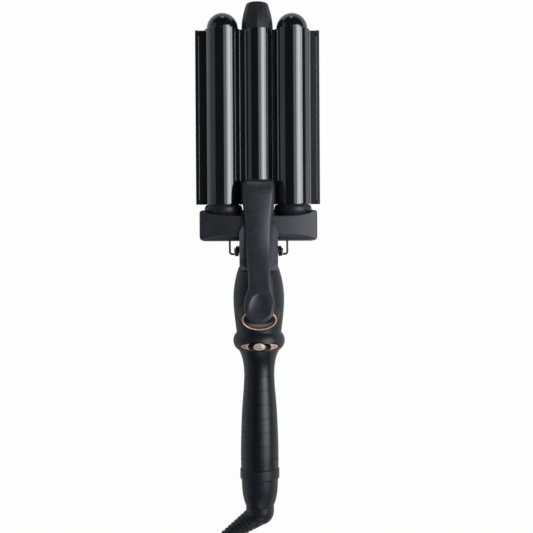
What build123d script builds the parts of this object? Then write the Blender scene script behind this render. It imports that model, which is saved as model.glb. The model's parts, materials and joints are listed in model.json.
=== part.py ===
from build123d import *
import math
import os

# Three-barrel hair waver, lying on its back. Millimetres.
# X runs across the barrels, Y towards their tips and Z up, away from the table.
# The origin is the middle of the flat back of the base bar.

# ---- Driving dimensions ----

# Fits
seat_gap = 0.1
running_gap = 0.3
shaft_gap = 0.05
press_gap = 0.02
spigot_gap = 0.3

# Barrels
barrel_d = 25.0
barrel_wall = 1.2
barrel_gap = 2.8
barrel_clearance = 5.0
barrel_root_y = -4.0
barrel_end_y = 157.2
dome_plug_length = 8.0

# Collars at the foot of the barrels
collar_width = 2.6
collar_length = 4.0
collar_chamfer = 1.0

# Heaters inside the barrels and the press tube
spreader_start_y = 24.0
spreader_length = 78.0
spreader_pocket_d = 6.4
spreader_pocket_share = 0.55
heater_width = 12.0
heater_thickness = 3.6
thermostat_d = 9.0
thermostat_length = 5.0

# Base bar
bar_end_margin = 6.2
bar_length = 24.6
bar_middle_rise = 6.0
bar_end_rise = 0.3
bar_bevel = 5.1
bar_corner = 2.6
bar_wall = 2.2
# Distance outside the barrel's surface and its axis, and station
bar_screw_outer = (1.9, 5.0)
bar_screw_inner = (4.2, -8.2)
screw_d = 1.6
screw_head_d = 2.8
screw_recess_d = 3.0
screw_head_length = 1.4
screw_recess = 0.6
screw_post_d = 3.6
screw_bite = 9.0

# Carrier plate that holds the barrels in the bar
carrier_margin = -0.3
carrier_height = 19.0
carrier_thickness = 2.0
carrier_boss_length = 8.0
carrier_lead_hole_d = 12.0

# Neck and hinge
neck_width = 30.2
neck_floor_drop = 6.4
neck_bottom_z = 6.4
neck_end_y = -50.0
neck_lead_bore_d = 9.0
neck_round = 4.0
cheek_rear_r = 15.2
cheek_front_r = 26.0
cheek_inner_x = 7.9
cheek_nose_y = 0.3
cheek_rise = 7.4
cheek_nose_taper = 3.0
hinge_y = -20.7
pin_d = 4.0
pin_overhang = 3.4
pin_head_d = 5.0
pin_head_length = 0.8
bush_wall = 1.1
boss_wall = 1.9

# Torsion springs
spring_wire_d = 1.2
spring_coil_d = 6.6
spring_turns = 1.6
spring_points_per_turn = 12
spring_pitch = 1.35
spring_arm_x = 22.7
spring_arm_angle = 45.0
spring_arm_bend = 2.0
spring_arm_depth = 4.0

# Press: one aluminium extrusion with the centre tube and two wings
press_start_y = 16.7
press_end_y = 155.6
press_wall = 1.5
wing_gap = 0.6
flange_width = 7.2
flange_lip_width = 2.6
flange_lip_rise = 0.7
web_rise = 4.6
web_drop = 1.2

# Cool tip
tip_length = 21.4
tip_facets = 16
tip_shoulder_length = 9.0
tip_shoulder_step = 1.1
tip_waist_length = 17.0
tip_waist_step = 4.8
tip_end_step = 7.6
tip_top_round = 1.2
tip_plug_length = 7.0

# Lever
lever_start_y = 35.8
lever_skirt_drop = 6.0
lever_bar_gap = 1.0
lever_nose_gap = 1.0
lever_nose_slope = 3.2
lever_middle_rise = 9.0
lever_wall = 2.0
lever_cover_thickness = 1.6
lever_plug_length = 12.0
lever_plug_gap = 1.2
lever_plug_width = 14.0
lever_tail_y = -74.9
lever_shoulder_y = 33.0
# Half width and station down the right side, from the front corner to the tail
lever_outline = (
    (12.5, 22.0),
    (11.0, -1.0),
    (10.6, -14.0),
    (8.8, -36.0),
    (8.3, -47.0),
    (11.6, -62.5),
    (9.4, -70.5),
)
# Station along the top and the underside, and height above the barrels' tops
lever_top_rises = (
    (35.8, 3.5),
    (29.0, 8.6),
    (14.0, 11.2),
    (-20.7, 14.6),
    (-37.0, 20.0),
    (-60.0, 31.5),
    (-74.9, 36.0),
)
lever_under_rises = (
    (-74.9, 31.6),
    (-60.0, 26.2),
    (-37.0, 14.6),
    (-26.5, lever_middle_rise),
)
lever_screw_rise = 15.8
lever_screw_length = 4.4
lever_post_rise = 19.8
lever_screw_x = 4.4
lever_screw_y = -42.0

# Handle
handle_wall = 2.2
housing_start_y = -33.2
housing_slant = 0.28
housing_d = 40.6
housing_start_step = 9.0
# Step in from the housing's diameter, and distance from its start
housing_steps = ((3.0, 10.6), (0.0, 24.3), (0.8, 34.6))
waist_step = 4.8
waist_to_ring = 6.4
ring_step = 0.6
ring_to_grip = 8.0
grip_start_y = -99.7
grip_start_d = 32.0
grip_waist_d = 24.2
grip_to_waist = 20.0
grip_d = 30.0
grip_length = 94.1
# Diameter, and distance from the grip's start
grip_steps = ((26.4, 8.0), (grip_waist_d, grip_to_waist), (26.8, 40.0), (29.4, 64.0))
grip_wall = 1.8
grip_groove_pitch = 10.95
grip_groove_count = 7
grip_groove_width = 0.9
grip_groove_depth = 0.5
core_wall = 1.8
handle_screw_x = 9.0
handle_screw_front = 24.8
handle_screw_rear = 0.8
handle_post_d = 6.4
handle_screw_rise = 6.9
handle_screw_seat = 3.3
handle_rib = 1.6

# Handle end
end_ring_d = 31.4
end_ring_length = 8.7
end_ring_round = 1.4
end_cap_d = 29.2
end_cap_end_d = 22.4
end_cap_length = 21.6
end_cap_wall = 1.6
# Diameter, and distance from the end cap's start
end_cap_steps = ((28.7, 6.5), (27.2, 13.5))
end_spigot_length = 4.0
swivel_shaft_d = 14.0
swivel_bearing_length = 5.5
swivel_flange_d = 18.4
swivel_flange_length = 2.4
swivel_face_gap = 0.3
contact_block_d = 12.0
contact_block_length = 14.0

# Display
display_to_waist = 11.3
display_rise = 1.4
display_tilt = 20.0
display_ring_a = 13.3
display_ring_b = 8.7
display_ring_width = 0.9
display_ring_rise = 0.7
display_ring_depth = 1.0
display_lens_thickness = 1.2
display_boss_margin = 0.8
display_base_a = 16.8
display_base_b = 16.4
display_boss_depth = 12.0
display_ledge = 1.2
display_module_a = 10.0
display_module_b = 5.4
display_module_length = 3.0

# Controls
strip_end_margin = 5.4
strip_half_height = 3.6
strip_floor_rise = 8.8
strip_recess = 0.25
button_gap = 0.25
button_rise = 0.5
button_travel = 0.6
button_floor_rise = 9.6
button_stem = 2.0
side_button_stem_step = 3.8
centre_button_a = 4.7
centre_button_b = 2.9
centre_button_step = 3.8
recess_step = 6.2
recess_b = 5.0
side_button_margin = 0.6
side_button_tail_step = 9.0
side_button_stem_inset = 5.0
switch_size = 3.6
switch_height = 1.6
control_board_rise = 5.4
control_board_width = 23.0
control_board_lead = 2.3
control_board_length = 9.4
board_thickness = 1.6

# Main board in the grip
main_board_width = 15.6
main_board_step = 8.3
main_board_length = 72.0
capacitor_d = 7.0
capacitor_length = 14.0
capacitor_step = 57.0
relay_width = 9.0
relay_length = 12.0
relay_height = 5.0
relay_step = 32.0

# Leads through the neck
lead_d = 2.2
lead_spacing = 2.5
lead_start_y = 2.0
lead_overlap = 4.0

# Swivel elbow, strain relief, cord and plug
elbow_corner_step = 6.6
elbow_d = 22.4
elbow_ball_step = 4.7
elbow_root_d = 18.8
elbow_root_length = 9.0
cord_heading = 34.5
relief_length = 33.0
relief_start_d = 16.4
relief_end_d = 8.6
relief_tip_length = 2.4
rib_pitch = 3.3
rib_width = 2.0
rib_depth = 0.9
cord_d = 6.5
table_gap = 0.05
coil_place = (-49.75, -109.3)
coil_mean_r = 39.0
coil_rows = 4
coil_layers = 2
plug_heading = 64.4
plug_neck_length = 12.0
plug_neck_d = 9.0
plug_length = 34.0
plug_width = 24.0
plug_height = 15.0
plug_round = 4.0
blade_length = 16.0
blade_width = 6.3
blade_thickness = 1.5
blade_spacing = 12.7
arc_share = 0.45
# The free run of the cord from the strain relief to the coil, and from the coil to the plug,
# with stations measured from the elbow's corner
cord_run = (
    (-54.4, -37.4, 19.3),
    (-73.0, -52.8, 14.2),
    (-88.0, -70.8, 8.0),
    (-96.6, -90.3, 4.0),
    (-98.5, -109.3, 3.3),
)
tail_run = (
    (-14.7, -144.3, 9.8),
    (-0.4, -129.9, 9.2),
    (12.6, -113.0, 8.1),
    (21.6, -94.2, 7.55),
)

# ---- Shared values ----

barrel_r = barrel_d / 2
barrel_pitch = barrel_d + barrel_gap
barrel_axis_z = barrel_clearance + barrel_r
barrel_top_z = barrel_axis_z + barrel_r
collar_d = barrel_d + 2 * collar_width
bar_width = 2 * (barrel_pitch + barrel_r + bar_end_margin)
bar_height = barrel_top_z + bar_middle_rise
bar_end_height = barrel_top_z + bar_end_rise
carrier_width = 2 * (barrel_pitch + barrel_r + carrier_margin)
hinge_z = barrel_top_z
neck_floor_z = hinge_z - neck_floor_drop
cheek_top_z = hinge_z + cheek_rise
lever_skirt_z = barrel_top_z - lever_skirt_drop
lever_top_line = [(station, barrel_top_z + rise) for station, rise in lever_top_rises]
lever_under_line = [(station, barrel_top_z + rise) for station, rise in lever_under_rises]
lever_screw_z = barrel_top_z + lever_screw_rise
lever_post_z = barrel_top_z + lever_post_rise
lever_middle_z = barrel_top_z + lever_middle_rise
lever_nose_y = cheek_nose_y + lever_nose_gap
housing_start_d = housing_d - housing_start_step
waist_d = housing_d - waist_step
ring_d = housing_d + ring_step
handle_z = ring_d / 2
ring_y = grip_start_y + ring_to_grip
waist_y = ring_y + waist_to_ring
housing_stations = [(housing_d - step, housing_start_y - along) for step, along in housing_steps]
grip_waist_y = grip_start_y - grip_to_waist
grip_end_y = grip_start_y - grip_length
grip_stations = [(diameter, grip_start_y - along) for diameter, along in grip_steps]
handle_screw_y = (housing_start_y - handle_screw_front, waist_y + handle_screw_rear)
handle_screw_top_z = handle_z + handle_screw_rise
handle_screw_head_z = handle_z - waist_d / 2 + handle_screw_seat
display_y = waist_y + display_to_waist
display_z = handle_z + housing_d / 2 + display_rise
strip_half_width = ring_d / 2 - strip_end_margin
recess_a = strip_half_width - recess_step
side_button_stem_x = strip_half_width - side_button_stem_inset
side_button_tail_x = strip_half_width - side_button_tail_step
strip_floor_z = handle_z + strip_floor_rise
button_floor_z = handle_z + button_floor_rise
side_button_stem_y = ring_y - side_button_stem_step
centre_button_y = ring_y - centre_button_step
control_board_z = handle_z + control_board_rise
control_board_start_y = ring_y + control_board_lead
main_board_start_y = grip_start_y - main_board_step
capacitor_y = main_board_start_y - capacitor_step
relay_y = main_board_start_y - relay_step
barrel_bore_r = barrel_r - barrel_wall
tube_bore_r = barrel_r - press_wall
wing_inner_r = barrel_r + wing_gap
wing_outer_r = wing_inner_r + press_wall
spreader_r = min(barrel_bore_r, tube_bore_r) - seat_gap
bar_half = bar_length / 2
neck_half = neck_width / 2
pin_r = pin_d / 2
bush_bore_r = pin_r + shaft_gap
bush_r = bush_bore_r + bush_wall
hinge_boss_r = bush_r + boss_wall
lever_skirt_top = bar_height + lever_bar_gap
core_inset = grip_wall + seat_gap
end_spigot_r = end_cap_d / 2 - end_cap_wall - spigot_gap
end_ring_end_y = grip_end_y - end_ring_length
end_cap_end_y = end_ring_end_y - end_cap_length
end_cap_stations = [(diameter, end_ring_end_y - along) for diameter, along in end_cap_steps]
elbow_corner_y = end_cap_end_y - elbow_corner_step
elbow_ball_y = end_cap_end_y - elbow_ball_step
coil_centre = (coil_place[0], elbow_corner_y + coil_place[1])
carrier_y = barrel_root_y - carrier_thickness
lead_z = handle_z - board_thickness / 2 - lead_d / 2 - seat_gap
cord_r = cord_d / 2
sides = {"left": -1, "right": 1}

handle_axis = Axis((0, 0, handle_z), (0, 1, 0))
handle_plane = Plane.XY.offset(handle_z)

os.makedirs("parts", exist_ok=True)


def save_piece(piece, name):
    """Label a finished piece and write its STEP file."""
    piece.label = name
    export_step(piece, f"parts/{name}.step")


def section_plane(station):
    """The cross-section plane at a station along Y, with its own y axis along Z."""
    return Plane.XZ.offset(-station)


def rod(x, z, start_y, end_y, radius, bore=0.0):
    """A round bar or tube that runs along Y."""
    with BuildPart() as bar:
        with BuildSketch(section_plane(start_y)):
            with Locations((x, z)):
                Circle(radius)
                if bore > 0:
                    Circle(bore, mode=Mode.SUBTRACT)
        extrude(amount=start_y - end_y)
    return bar.part


def cross_rod(y, z, half_length, radius):
    """A round bar that runs along X and is centred on it."""
    with BuildPart() as bar:
        with BuildSketch(Plane.YZ):
            with Locations((y, z)):
                Circle(radius)
        extrude(amount=half_length, both=True)
    return bar.part


# ---- Base bar ----


def bar_volume(inset):
    """The bar's outer shape, or its cavity when inset by the wall."""
    half_x = bar_width / 2 - inset
    half_y = bar_half - inset
    bevel_y = half_y - bar_bevel
    with BuildPart() as volume:
        with BuildSketch(Plane.XY.offset(inset)):
            RectangleRounded(2 * half_x, 2 * half_y, bar_corner)
        extrude(amount=bar_height - 2 * inset)
        with BuildSketch(Plane.YZ):
            with BuildLine():
                Polyline(
                    (-half_y, 0),
                    (half_y, 0),
                    (half_y, bar_end_height - inset),
                    (bevel_y, bar_height - inset),
                    (-bevel_y, bar_height - inset),
                    (-half_y, bar_end_height - inset),
                    close=True,
                )
            make_face()
        extrude(amount=half_x, both=True, mode=Mode.INTERSECT)
        with BuildSketch(Plane.XZ):
            with BuildLine():
                Line((-half_x, 0), (half_x, 0))
                Line((half_x, 0), (half_x, bar_end_height - inset))
                ThreePointArc(
                    (half_x, bar_end_height - inset),
                    (0, bar_height - inset),
                    (-half_x, bar_end_height - inset),
                )
                Line((-half_x, bar_end_height - inset), (-half_x, 0))
            make_face()
        extrude(amount=half_y, both=True, mode=Mode.INTERSECT)
    return volume.part


bar_outer = bar_volume(0.0)
bar_cavity = bar_volume(bar_wall)
bar_screw_places = [
    (sign * x, y)
    for x, y in (
        (barrel_pitch + barrel_r + bar_screw_outer[0], bar_screw_outer[1]),
        (barrel_pitch + bar_screw_inner[0], bar_screw_inner[1]),
    )
    for sign in sides.values()
]
split_plane = Plane.XY.offset(barrel_axis_z)
spring_arm_z = hinge_z - spring_coil_d / 2 * math.sin(math.radians(spring_arm_angle))


def bar_shell():
    """The closed hollow bar with its openings for barrels, neck and spring arms."""
    with BuildPart() as shell:
        add(bar_outer)
        add(bar_cavity, mode=Mode.SUBTRACT)
        with BuildSketch(section_plane(0)):
            with Locations(*[(sign * barrel_pitch, barrel_axis_z) for sign in sides.values()]):
                Circle(barrel_r + seat_gap)
        extrude(amount=-bar_half, mode=Mode.SUBTRACT)
        with BuildSketch(section_plane(-bar_half)):
            with BuildLine():
                Polyline(
                    (-neck_half - seat_gap, neck_bottom_z - seat_gap),
                    (neck_half + seat_gap, neck_bottom_z - seat_gap),
                    (neck_half + seat_gap, neck_floor_z + seat_gap),
                    (-neck_half - seat_gap, neck_floor_z + seat_gap),
                    close=True,
                )
            make_face()
        extrude(amount=-bar_wall, mode=Mode.SUBTRACT)
        with BuildSketch(section_plane(-bar_half)):
            with Locations(*[(sign * spring_arm_x, spring_arm_z) for sign in sides.values()]):
                Circle(spring_wire_d / 2 + seat_gap)
        extrude(amount=-bar_wall, mode=Mode.SUBTRACT)
    return shell.part


hollow_bar = bar_shell()

# Front cover, with the posts that take the screws
with BuildPart() as bar_front_cover:
    add(hollow_bar)
    with BuildSketch(split_plane):
        with Locations(*bar_screw_places):
            Circle(screw_post_d / 2)
    extrude(amount=bar_end_height - barrel_axis_z)
    add(bar_outer, mode=Mode.INTERSECT)
    split(bisect_by=split_plane, keep=Keep.TOP)
    with BuildSketch(split_plane):
        with Locations(*bar_screw_places):
            Circle(screw_d / 2)
    extrude(amount=screw_bite, mode=Mode.SUBTRACT)
save_piece(bar_front_cover.part, "bar_front_cover")

# Rear cover, with recessed holes for the screw heads
with BuildPart() as bar_rear_cover:
    add(hollow_bar)
    split(bisect_by=split_plane, keep=Keep.BOTTOM)
    with BuildSketch(Plane.XY.offset(bar_wall)):
        with Locations(*bar_screw_places):
            Circle(screw_post_d / 2)
    extrude(amount=barrel_axis_z - bar_wall)
    with BuildSketch(Plane.XY):
        with Locations(*bar_screw_places):
            Circle(screw_d / 2 + seat_gap)
    extrude(amount=barrel_axis_z, mode=Mode.SUBTRACT)
    with BuildSketch(Plane.XY):
        with Locations(*bar_screw_places):
            Circle(screw_recess_d / 2)
    extrude(amount=screw_recess + screw_head_length, mode=Mode.SUBTRACT)
save_piece(bar_rear_cover.part, "bar_rear_cover")


def screws(places, head_z, length):
    """A group of alike screws that point up from their heads."""
    with BuildPart() as group:
        with BuildSketch(Plane.XY.offset(head_z)):
            with Locations(*places):
                Circle(screw_head_d / 2)
        extrude(amount=screw_head_length)
        with BuildSketch(Plane.XY.offset(head_z + screw_head_length)):
            with Locations(*places):
                Circle(screw_d / 2)
        extrude(amount=length)
    return group.part


bar_screw_length = barrel_axis_z + screw_bite - screw_recess - screw_head_length - seat_gap
save_piece(screws(bar_screw_places, screw_recess, bar_screw_length), "bar_screws")

# Carrier plate with a boss inside the foot of each barrel
with BuildPart() as barrel_carrier:
    with BuildSketch(section_plane(carrier_y)):
        with Locations((0, barrel_axis_z)):
            Rectangle(carrier_width, carrier_height)
    extrude(amount=-carrier_thickness)
    with BuildSketch(section_plane(barrel_root_y)):
        with Locations(*[(sign * barrel_pitch, barrel_axis_z) for sign in sides.values()]):
            Circle(barrel_bore_r - seat_gap)
    extrude(amount=-carrier_boss_length)
    with BuildSketch(section_plane(carrier_y)):
        with Locations(*[(sign * barrel_pitch, barrel_axis_z) for sign in sides.values()]):
            Circle(carrier_lead_hole_d / 2)
        with Locations((0, lead_z)):
            Circle(neck_lead_bore_d / 2)
    extrude(amount=-carrier_thickness - carrier_boss_length, mode=Mode.SUBTRACT)
save_piece(barrel_carrier.part, "barrel_carrier")

# ---- Barrels ----


def heat_spreader(x, start_y):
    """An aluminium core with a slot for the heater strip and two lightening pockets."""
    with BuildPart() as spreader:
        with BuildSketch(section_plane(start_y)):
            with Locations((x, barrel_axis_z)):
                Circle(spreader_r)
                Rectangle(heater_width + 2 * seat_gap, heater_thickness + 2 * seat_gap, mode=Mode.SUBTRACT)
            offset_z = spreader_pocket_share * barrel_r
            with Locations((x, barrel_axis_z + offset_z), (x, barrel_axis_z - offset_z)):
                Circle(spreader_pocket_d / 2, mode=Mode.SUBTRACT)
        extrude(amount=-spreader_length)
    return spreader.part


def heater_strip(x, start_y):
    """The ceramic heater strip inside a spreader."""
    with BuildPart() as strip:
        with BuildSketch(section_plane(start_y)):
            with Locations((x, barrel_axis_z)):
                Rectangle(heater_width, heater_thickness)
        extrude(amount=-spreader_length)
    return strip.part


def dome_cap(x):
    """A half-round end cap with a plug in the barrel."""
    with BuildPart() as dome:
        with Locations((x, barrel_end_y, barrel_axis_z)):
            Sphere(barrel_r)
        split(bisect_by=section_plane(barrel_end_y), keep=Keep.BOTTOM)
        add(rod(x, barrel_axis_z, barrel_end_y - dome_plug_length, barrel_end_y, barrel_bore_r - seat_gap))
    return dome.part


def collar(x):
    """The black ring between the bar and a barrel, with a sloped top."""
    inner = barrel_r + seat_gap
    outer = collar_d / 2
    top_y = bar_half + collar_length
    with BuildPart() as ring:
        with BuildSketch(split_plane):
            with BuildLine():
                Polyline(
                    (x + inner, bar_half),
                    (x + outer, bar_half),
                    (x + outer, top_y - 2 * collar_chamfer),
                    (x + outer - collar_chamfer, top_y),
                    (x + inner, top_y),
                    close=True,
                )
            make_face()
        revolve(axis=Axis((x, 0, barrel_axis_z), (0, 1, 0)))
    return ring.part


for side, sign in sides.items():
    barrel_x = sign * barrel_pitch
    barrel = rod(barrel_x, barrel_axis_z, barrel_root_y, barrel_end_y, barrel_r, barrel_bore_r)
    save_piece(barrel, f"{side}_barrel")
    save_piece(dome_cap(barrel_x), f"{side}_dome_cap")
    save_piece(collar(barrel_x), f"{side}_collar")
    save_piece(heat_spreader(barrel_x, spreader_start_y), f"{side}_heat_spreader")
    save_piece(heater_strip(barrel_x, spreader_start_y), f"{side}_heater_strip")

with BuildPart() as thermostats:
    for sign in sides.values():
        thermostat_x = sign * barrel_pitch
        thermostat_y = spreader_start_y - thermostat_length
        add(rod(thermostat_x, barrel_axis_z, thermostat_y, spreader_start_y, thermostat_d / 2))
save_piece(thermostats.part, "thermostats")

# ---- Neck, hinge pin and springs ----

spigot_r = housing_start_d / 2 - handle_wall - seat_gap

neck_rim_y = housing_start_y - housing_slant * cheek_rear_r

# The round the neck narrows to where it meets the housing's rim
with BuildSketch(handle_plane) as neck_round_half:
    with BuildLine():
        Polyline(
            (0, bar_half),
            (cheek_front_r, bar_half),
            (cheek_front_r, hinge_y - hinge_boss_r),
            (cheek_rear_r, neck_rim_y),
            (0, neck_rim_y),
            close=True,
        )
    make_face()

# Neck block with the two cheeks of the hinge, and a round spigot inside the handle
with BuildPart() as neck_fork:
    with BuildSketch(Plane.YZ):
        with BuildLine():
            Polyline(
                (carrier_y, neck_bottom_z),
                (carrier_y, neck_floor_z),
                (-bar_half - seat_gap, neck_floor_z),
                (-bar_half - seat_gap, bar_end_height),
                (-bar_half + bar_bevel - seat_gap, bar_height + seat_gap),
                (cheek_nose_y, bar_height + seat_gap),
                (cheek_nose_y - cheek_nose_taper, cheek_top_z),
                (hinge_y - hinge_boss_r, cheek_top_z),
                (neck_rim_y, handle_z + cheek_rear_r),
                (housing_start_y, handle_z),
                (housing_start_y, neck_bottom_z),
                close=True,
            )
        make_face()
    extrude(amount=neck_half, both=True)
    fillet(neck_fork.edges().filter_by(Axis.Y).group_by(Axis.Z)[0], neck_round)
    add(revolve(neck_round_half.sketch, axis=handle_axis, mode=Mode.PRIVATE), mode=Mode.INTERSECT)
    with BuildSketch(Plane.XY.offset(neck_floor_z)):
        with Locations((0, (housing_start_y + cheek_nose_y) / 2)):
            Rectangle(2 * cheek_inner_x, cheek_nose_y - housing_start_y)
    extrude(amount=cheek_top_z - neck_floor_z, mode=Mode.SUBTRACT)
    with BuildSketch(Plane.XY.offset(bar_height)):
        for sign in sides.values():
            with BuildLine():
                Polyline(
                    (sign * neck_half, cheek_nose_y - 2 * cheek_nose_taper),
                    (sign * neck_half, cheek_nose_y),
                    (sign * (neck_half - cheek_nose_taper), cheek_nose_y),
                    close=True,
                )
            make_face()
    extrude(amount=cheek_top_z - bar_height, mode=Mode.SUBTRACT)
    add(rod(0, handle_z, neck_end_y, housing_start_y, spigot_r))
    add(cross_rod(hinge_y, hinge_z, neck_half, pin_r + press_gap), mode=Mode.SUBTRACT)
    add(rod(0, lead_z, neck_end_y, carrier_y, neck_lead_bore_d / 2), mode=Mode.SUBTRACT)
save_piece(neck_fork.part, "neck_fork")

# Hinge pin with a head at each end, outside the springs
pin_half = neck_half + pin_overhang
with BuildPart() as hinge_pin:
    add(cross_rod(hinge_y, hinge_z, pin_half, pin_r))
    for sign in sides.values():
        with BuildSketch(Plane.YZ.offset(sign * pin_half)):
            with Locations((hinge_y, hinge_z)):
                Circle(pin_head_d / 2)
        extrude(amount=sign * pin_head_length)
save_piece(hinge_pin.part, "hinge_pin")


def torsion_spring():
    """The right-hand spring: a coil round the pin and an arm that ends in the bar."""
    coil_r = spring_coil_d / 2
    coil_x = neck_half + spring_wire_d / 2 + seat_gap
    end_angle = 180 + spring_arm_angle
    steps = math.ceil(spring_turns * spring_points_per_turn)
    coil_points = []
    for step in range(steps + 1):
        share = step / steps
        angle = math.radians(end_angle - 360 * spring_turns * (1 - share))
        coil_points.append(
            (
                coil_x + share * spring_turns * spring_pitch,
                hinge_y + coil_r * math.cos(angle),
                hinge_z + coil_r * math.sin(angle),
            )
        )
    end_x, arm_y, arm_z = coil_points[-1]
    with BuildPart() as spring:
        with BuildLine() as coil_line:
            Spline(*coil_points)
        with BuildSketch(Plane(origin=coil_line.line @ 0, z_dir=coil_line.line % 0)):
            Circle(spring_wire_d / 2)
        sweep(path=coil_line.line)
        with BuildLine() as arm_line:
            FilletPolyline(
                (end_x, arm_y, arm_z),
                (spring_arm_x, arm_y, arm_z),
                (spring_arm_x, -bar_half + spring_arm_depth, arm_z),
                radius=spring_arm_bend,
            )
        with BuildSketch(Plane(origin=arm_line.line @ 0, z_dir=arm_line.line % 0)):
            Circle(spring_wire_d / 2)
        sweep(path=arm_line.line)
        with Locations((end_x, arm_y, arm_z)):
            Sphere(spring_wire_d / 2)
    return spring.part


right_spring = torsion_spring()
save_piece(right_spring, "right_spring")
save_piece(mirror(right_spring, about=Plane.YZ), "left_spring")

# ---- Press and cool tip ----

# One extruded section: centre tube, webs, half-round wings and flat flanges
with BuildPart() as press_extrusion:
    flange_start_x = barrel_pitch + wing_inner_r
    flange_end_x = barrel_pitch + wing_outer_r + flange_width
    web_end_x = barrel_pitch - wing_inner_r + press_wall / 2
    with BuildSketch(section_plane(press_start_y)):
        with Locations((0, barrel_axis_z)):
            Circle(barrel_r)
        for sign in sides.values():
            wing_x = sign * barrel_pitch
            with Locations((wing_x, barrel_axis_z)):
                Circle(wing_outer_r)
            with Locations((wing_x, barrel_axis_z - wing_outer_r / 2)):
                Rectangle(2 * wing_outer_r, wing_outer_r, mode=Mode.SUBTRACT)
        for sign in sides.values():
            with Locations((sign * web_end_x / 2, barrel_axis_z + (web_rise - web_drop) / 2)):
                Rectangle(web_end_x, web_rise + web_drop)
        for sign in sides.values():
            with Locations((sign * (flange_start_x + flange_end_x) / 2, barrel_axis_z + press_wall / 2)):
                Rectangle(flange_end_x - flange_start_x, press_wall)
            lip_z = barrel_axis_z + press_wall + flange_lip_rise / 2
            with Locations((sign * (flange_end_x - flange_lip_width / 2), lip_z)):
                Rectangle(flange_lip_width, flange_lip_rise)
        with Locations(*[(sign * barrel_pitch, barrel_axis_z) for sign in sides.values()]):
            Circle(wing_inner_r, mode=Mode.SUBTRACT)
        with Locations((0, barrel_axis_z)):
            Circle(barrel_r)
            Circle(tube_bore_r, mode=Mode.SUBTRACT)
    extrude(amount=press_start_y - press_end_y)
save_piece(press_extrusion.part, "press_extrusion")

# Faceted tip with a plug in the centre tube
tip_sections = (
    (0.0, barrel_d),
    (tip_shoulder_length, barrel_d - tip_shoulder_step),
    (tip_waist_length, barrel_d - tip_waist_step),
    (tip_length, barrel_d - tip_end_step),
)
with BuildPart() as cool_tip:
    for length, diameter in tip_sections:
        with BuildSketch(section_plane(press_end_y + seat_gap + length)):
            with Locations((0, barrel_axis_z)):
                RegularPolygon(diameter / 2, tip_facets)
    loft()
    fillet(cool_tip.faces().sort_by(Axis.Y)[-1].edges(), tip_top_round)
    add(rod(0, barrel_axis_z, press_end_y - tip_plug_length, press_end_y + seat_gap, tube_bore_r - seat_gap))
save_piece(cool_tip.part, "cool_tip")

centre_spreader_y = press_start_y + lever_plug_length + seat_gap
save_piece(heat_spreader(0, centre_spreader_y), "centre_heat_spreader")
save_piece(heater_strip(0, centre_spreader_y), "centre_heater_strip")

# ---- Lever ----


def lever_plan(inset):
    """The lever's outline as seen from above, inset by a wall."""
    front_half = lever_outline[0][0] - inset
    front_y = lever_start_y - inset
    corner = lever_start_y - lever_shoulder_y
    side_points = [(half - inset, station) for half, station in lever_outline]
    with BuildSketch() as plan:
        with BuildLine():
            Line((0, front_y), (front_half - corner, front_y))
            RadiusArc((front_half - corner, front_y), (front_half, front_y - corner), corner)
            Line((front_half, front_y - corner), side_points[0])
            Spline(*side_points, (0, lever_tail_y + inset), tangents=((0, -1), (-1, 0)))
            mirror(about=Plane.YZ)
        make_face()
    return plan.sketch


def lever_volume(inset):
    """The lever's outer shape, or its cavity when inset by the wall."""
    with BuildPart() as volume:
        with BuildSketch(Plane.XY.offset(lever_skirt_z)):
            add(lever_plan(inset))
        extrude(amount=lever_top_line[-1][1] - lever_skirt_z)
        with BuildSketch(Plane.YZ):
            with BuildLine():
                top_points = [(station, height - inset) for station, height in lever_top_line]
                Spline(*top_points)
                Polyline(
                    top_points[-1],
                    *lever_under_line,
                    (lever_nose_y, lever_middle_z),
                    (lever_nose_y + lever_nose_slope, lever_skirt_top),
                    (bar_half, lever_skirt_top),
                    (press_start_y - running_gap, lever_skirt_z),
                    (lever_start_y, lever_skirt_z),
                    top_points[0],
                )
            make_face()
        extrude(amount=barrel_d, both=True, mode=Mode.INTERSECT)
        for x, radius in ((0, barrel_r), (-barrel_pitch, wing_outer_r), (barrel_pitch, wing_outer_r)):
            cutter = rod(x, barrel_axis_z, press_start_y - collar_length, lever_start_y, radius + seat_gap)
            add(cutter, mode=Mode.SUBTRACT)
    return volume.part


lever_screw_places = [(sign * lever_screw_x, lever_screw_y) for sign in sides.values()]

# Upper shell, with posts for the screws
with BuildPart() as lever_shell:
    add(lever_volume(0.0))
    add(lever_volume(lever_wall), mode=Mode.SUBTRACT)
    with BuildSketch(Plane.XY.offset(lever_post_z)):
        with Locations(*lever_screw_places):
            Circle(screw_post_d / 2)
    extrude(amount=lever_top_line[-1][1] - lever_post_z)
    add(lever_volume(0.0), mode=Mode.INTERSECT)
    with BuildSketch(Plane.XY.offset(lever_screw_z)):
        with Locations(*lever_screw_places):
            Circle(screw_d / 2)
    extrude(amount=screw_head_length + lever_screw_length + seat_gap, mode=Mode.SUBTRACT)
save_piece(lever_shell.part, "lever_shell")


def under_strip():
    """The band that the under-cover fills, just above the lever's underside."""
    front_end = (press_start_y - running_gap, lever_skirt_top)
    nose = (lever_nose_y, lever_middle_z)
    step = (lever_nose_y + lever_nose_slope, lever_skirt_top)
    lower = (*lever_under_line, nose, step, front_end)
    upper = [(station, height + lever_cover_thickness) for station, height in reversed(lower)]
    with BuildPart() as strip:
        with BuildSketch(Plane.YZ):
            with BuildLine():
                Polyline(*lower, *upper, close=True)
            make_face()
        extrude(amount=barrel_d, both=True)
    return strip.part


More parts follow.
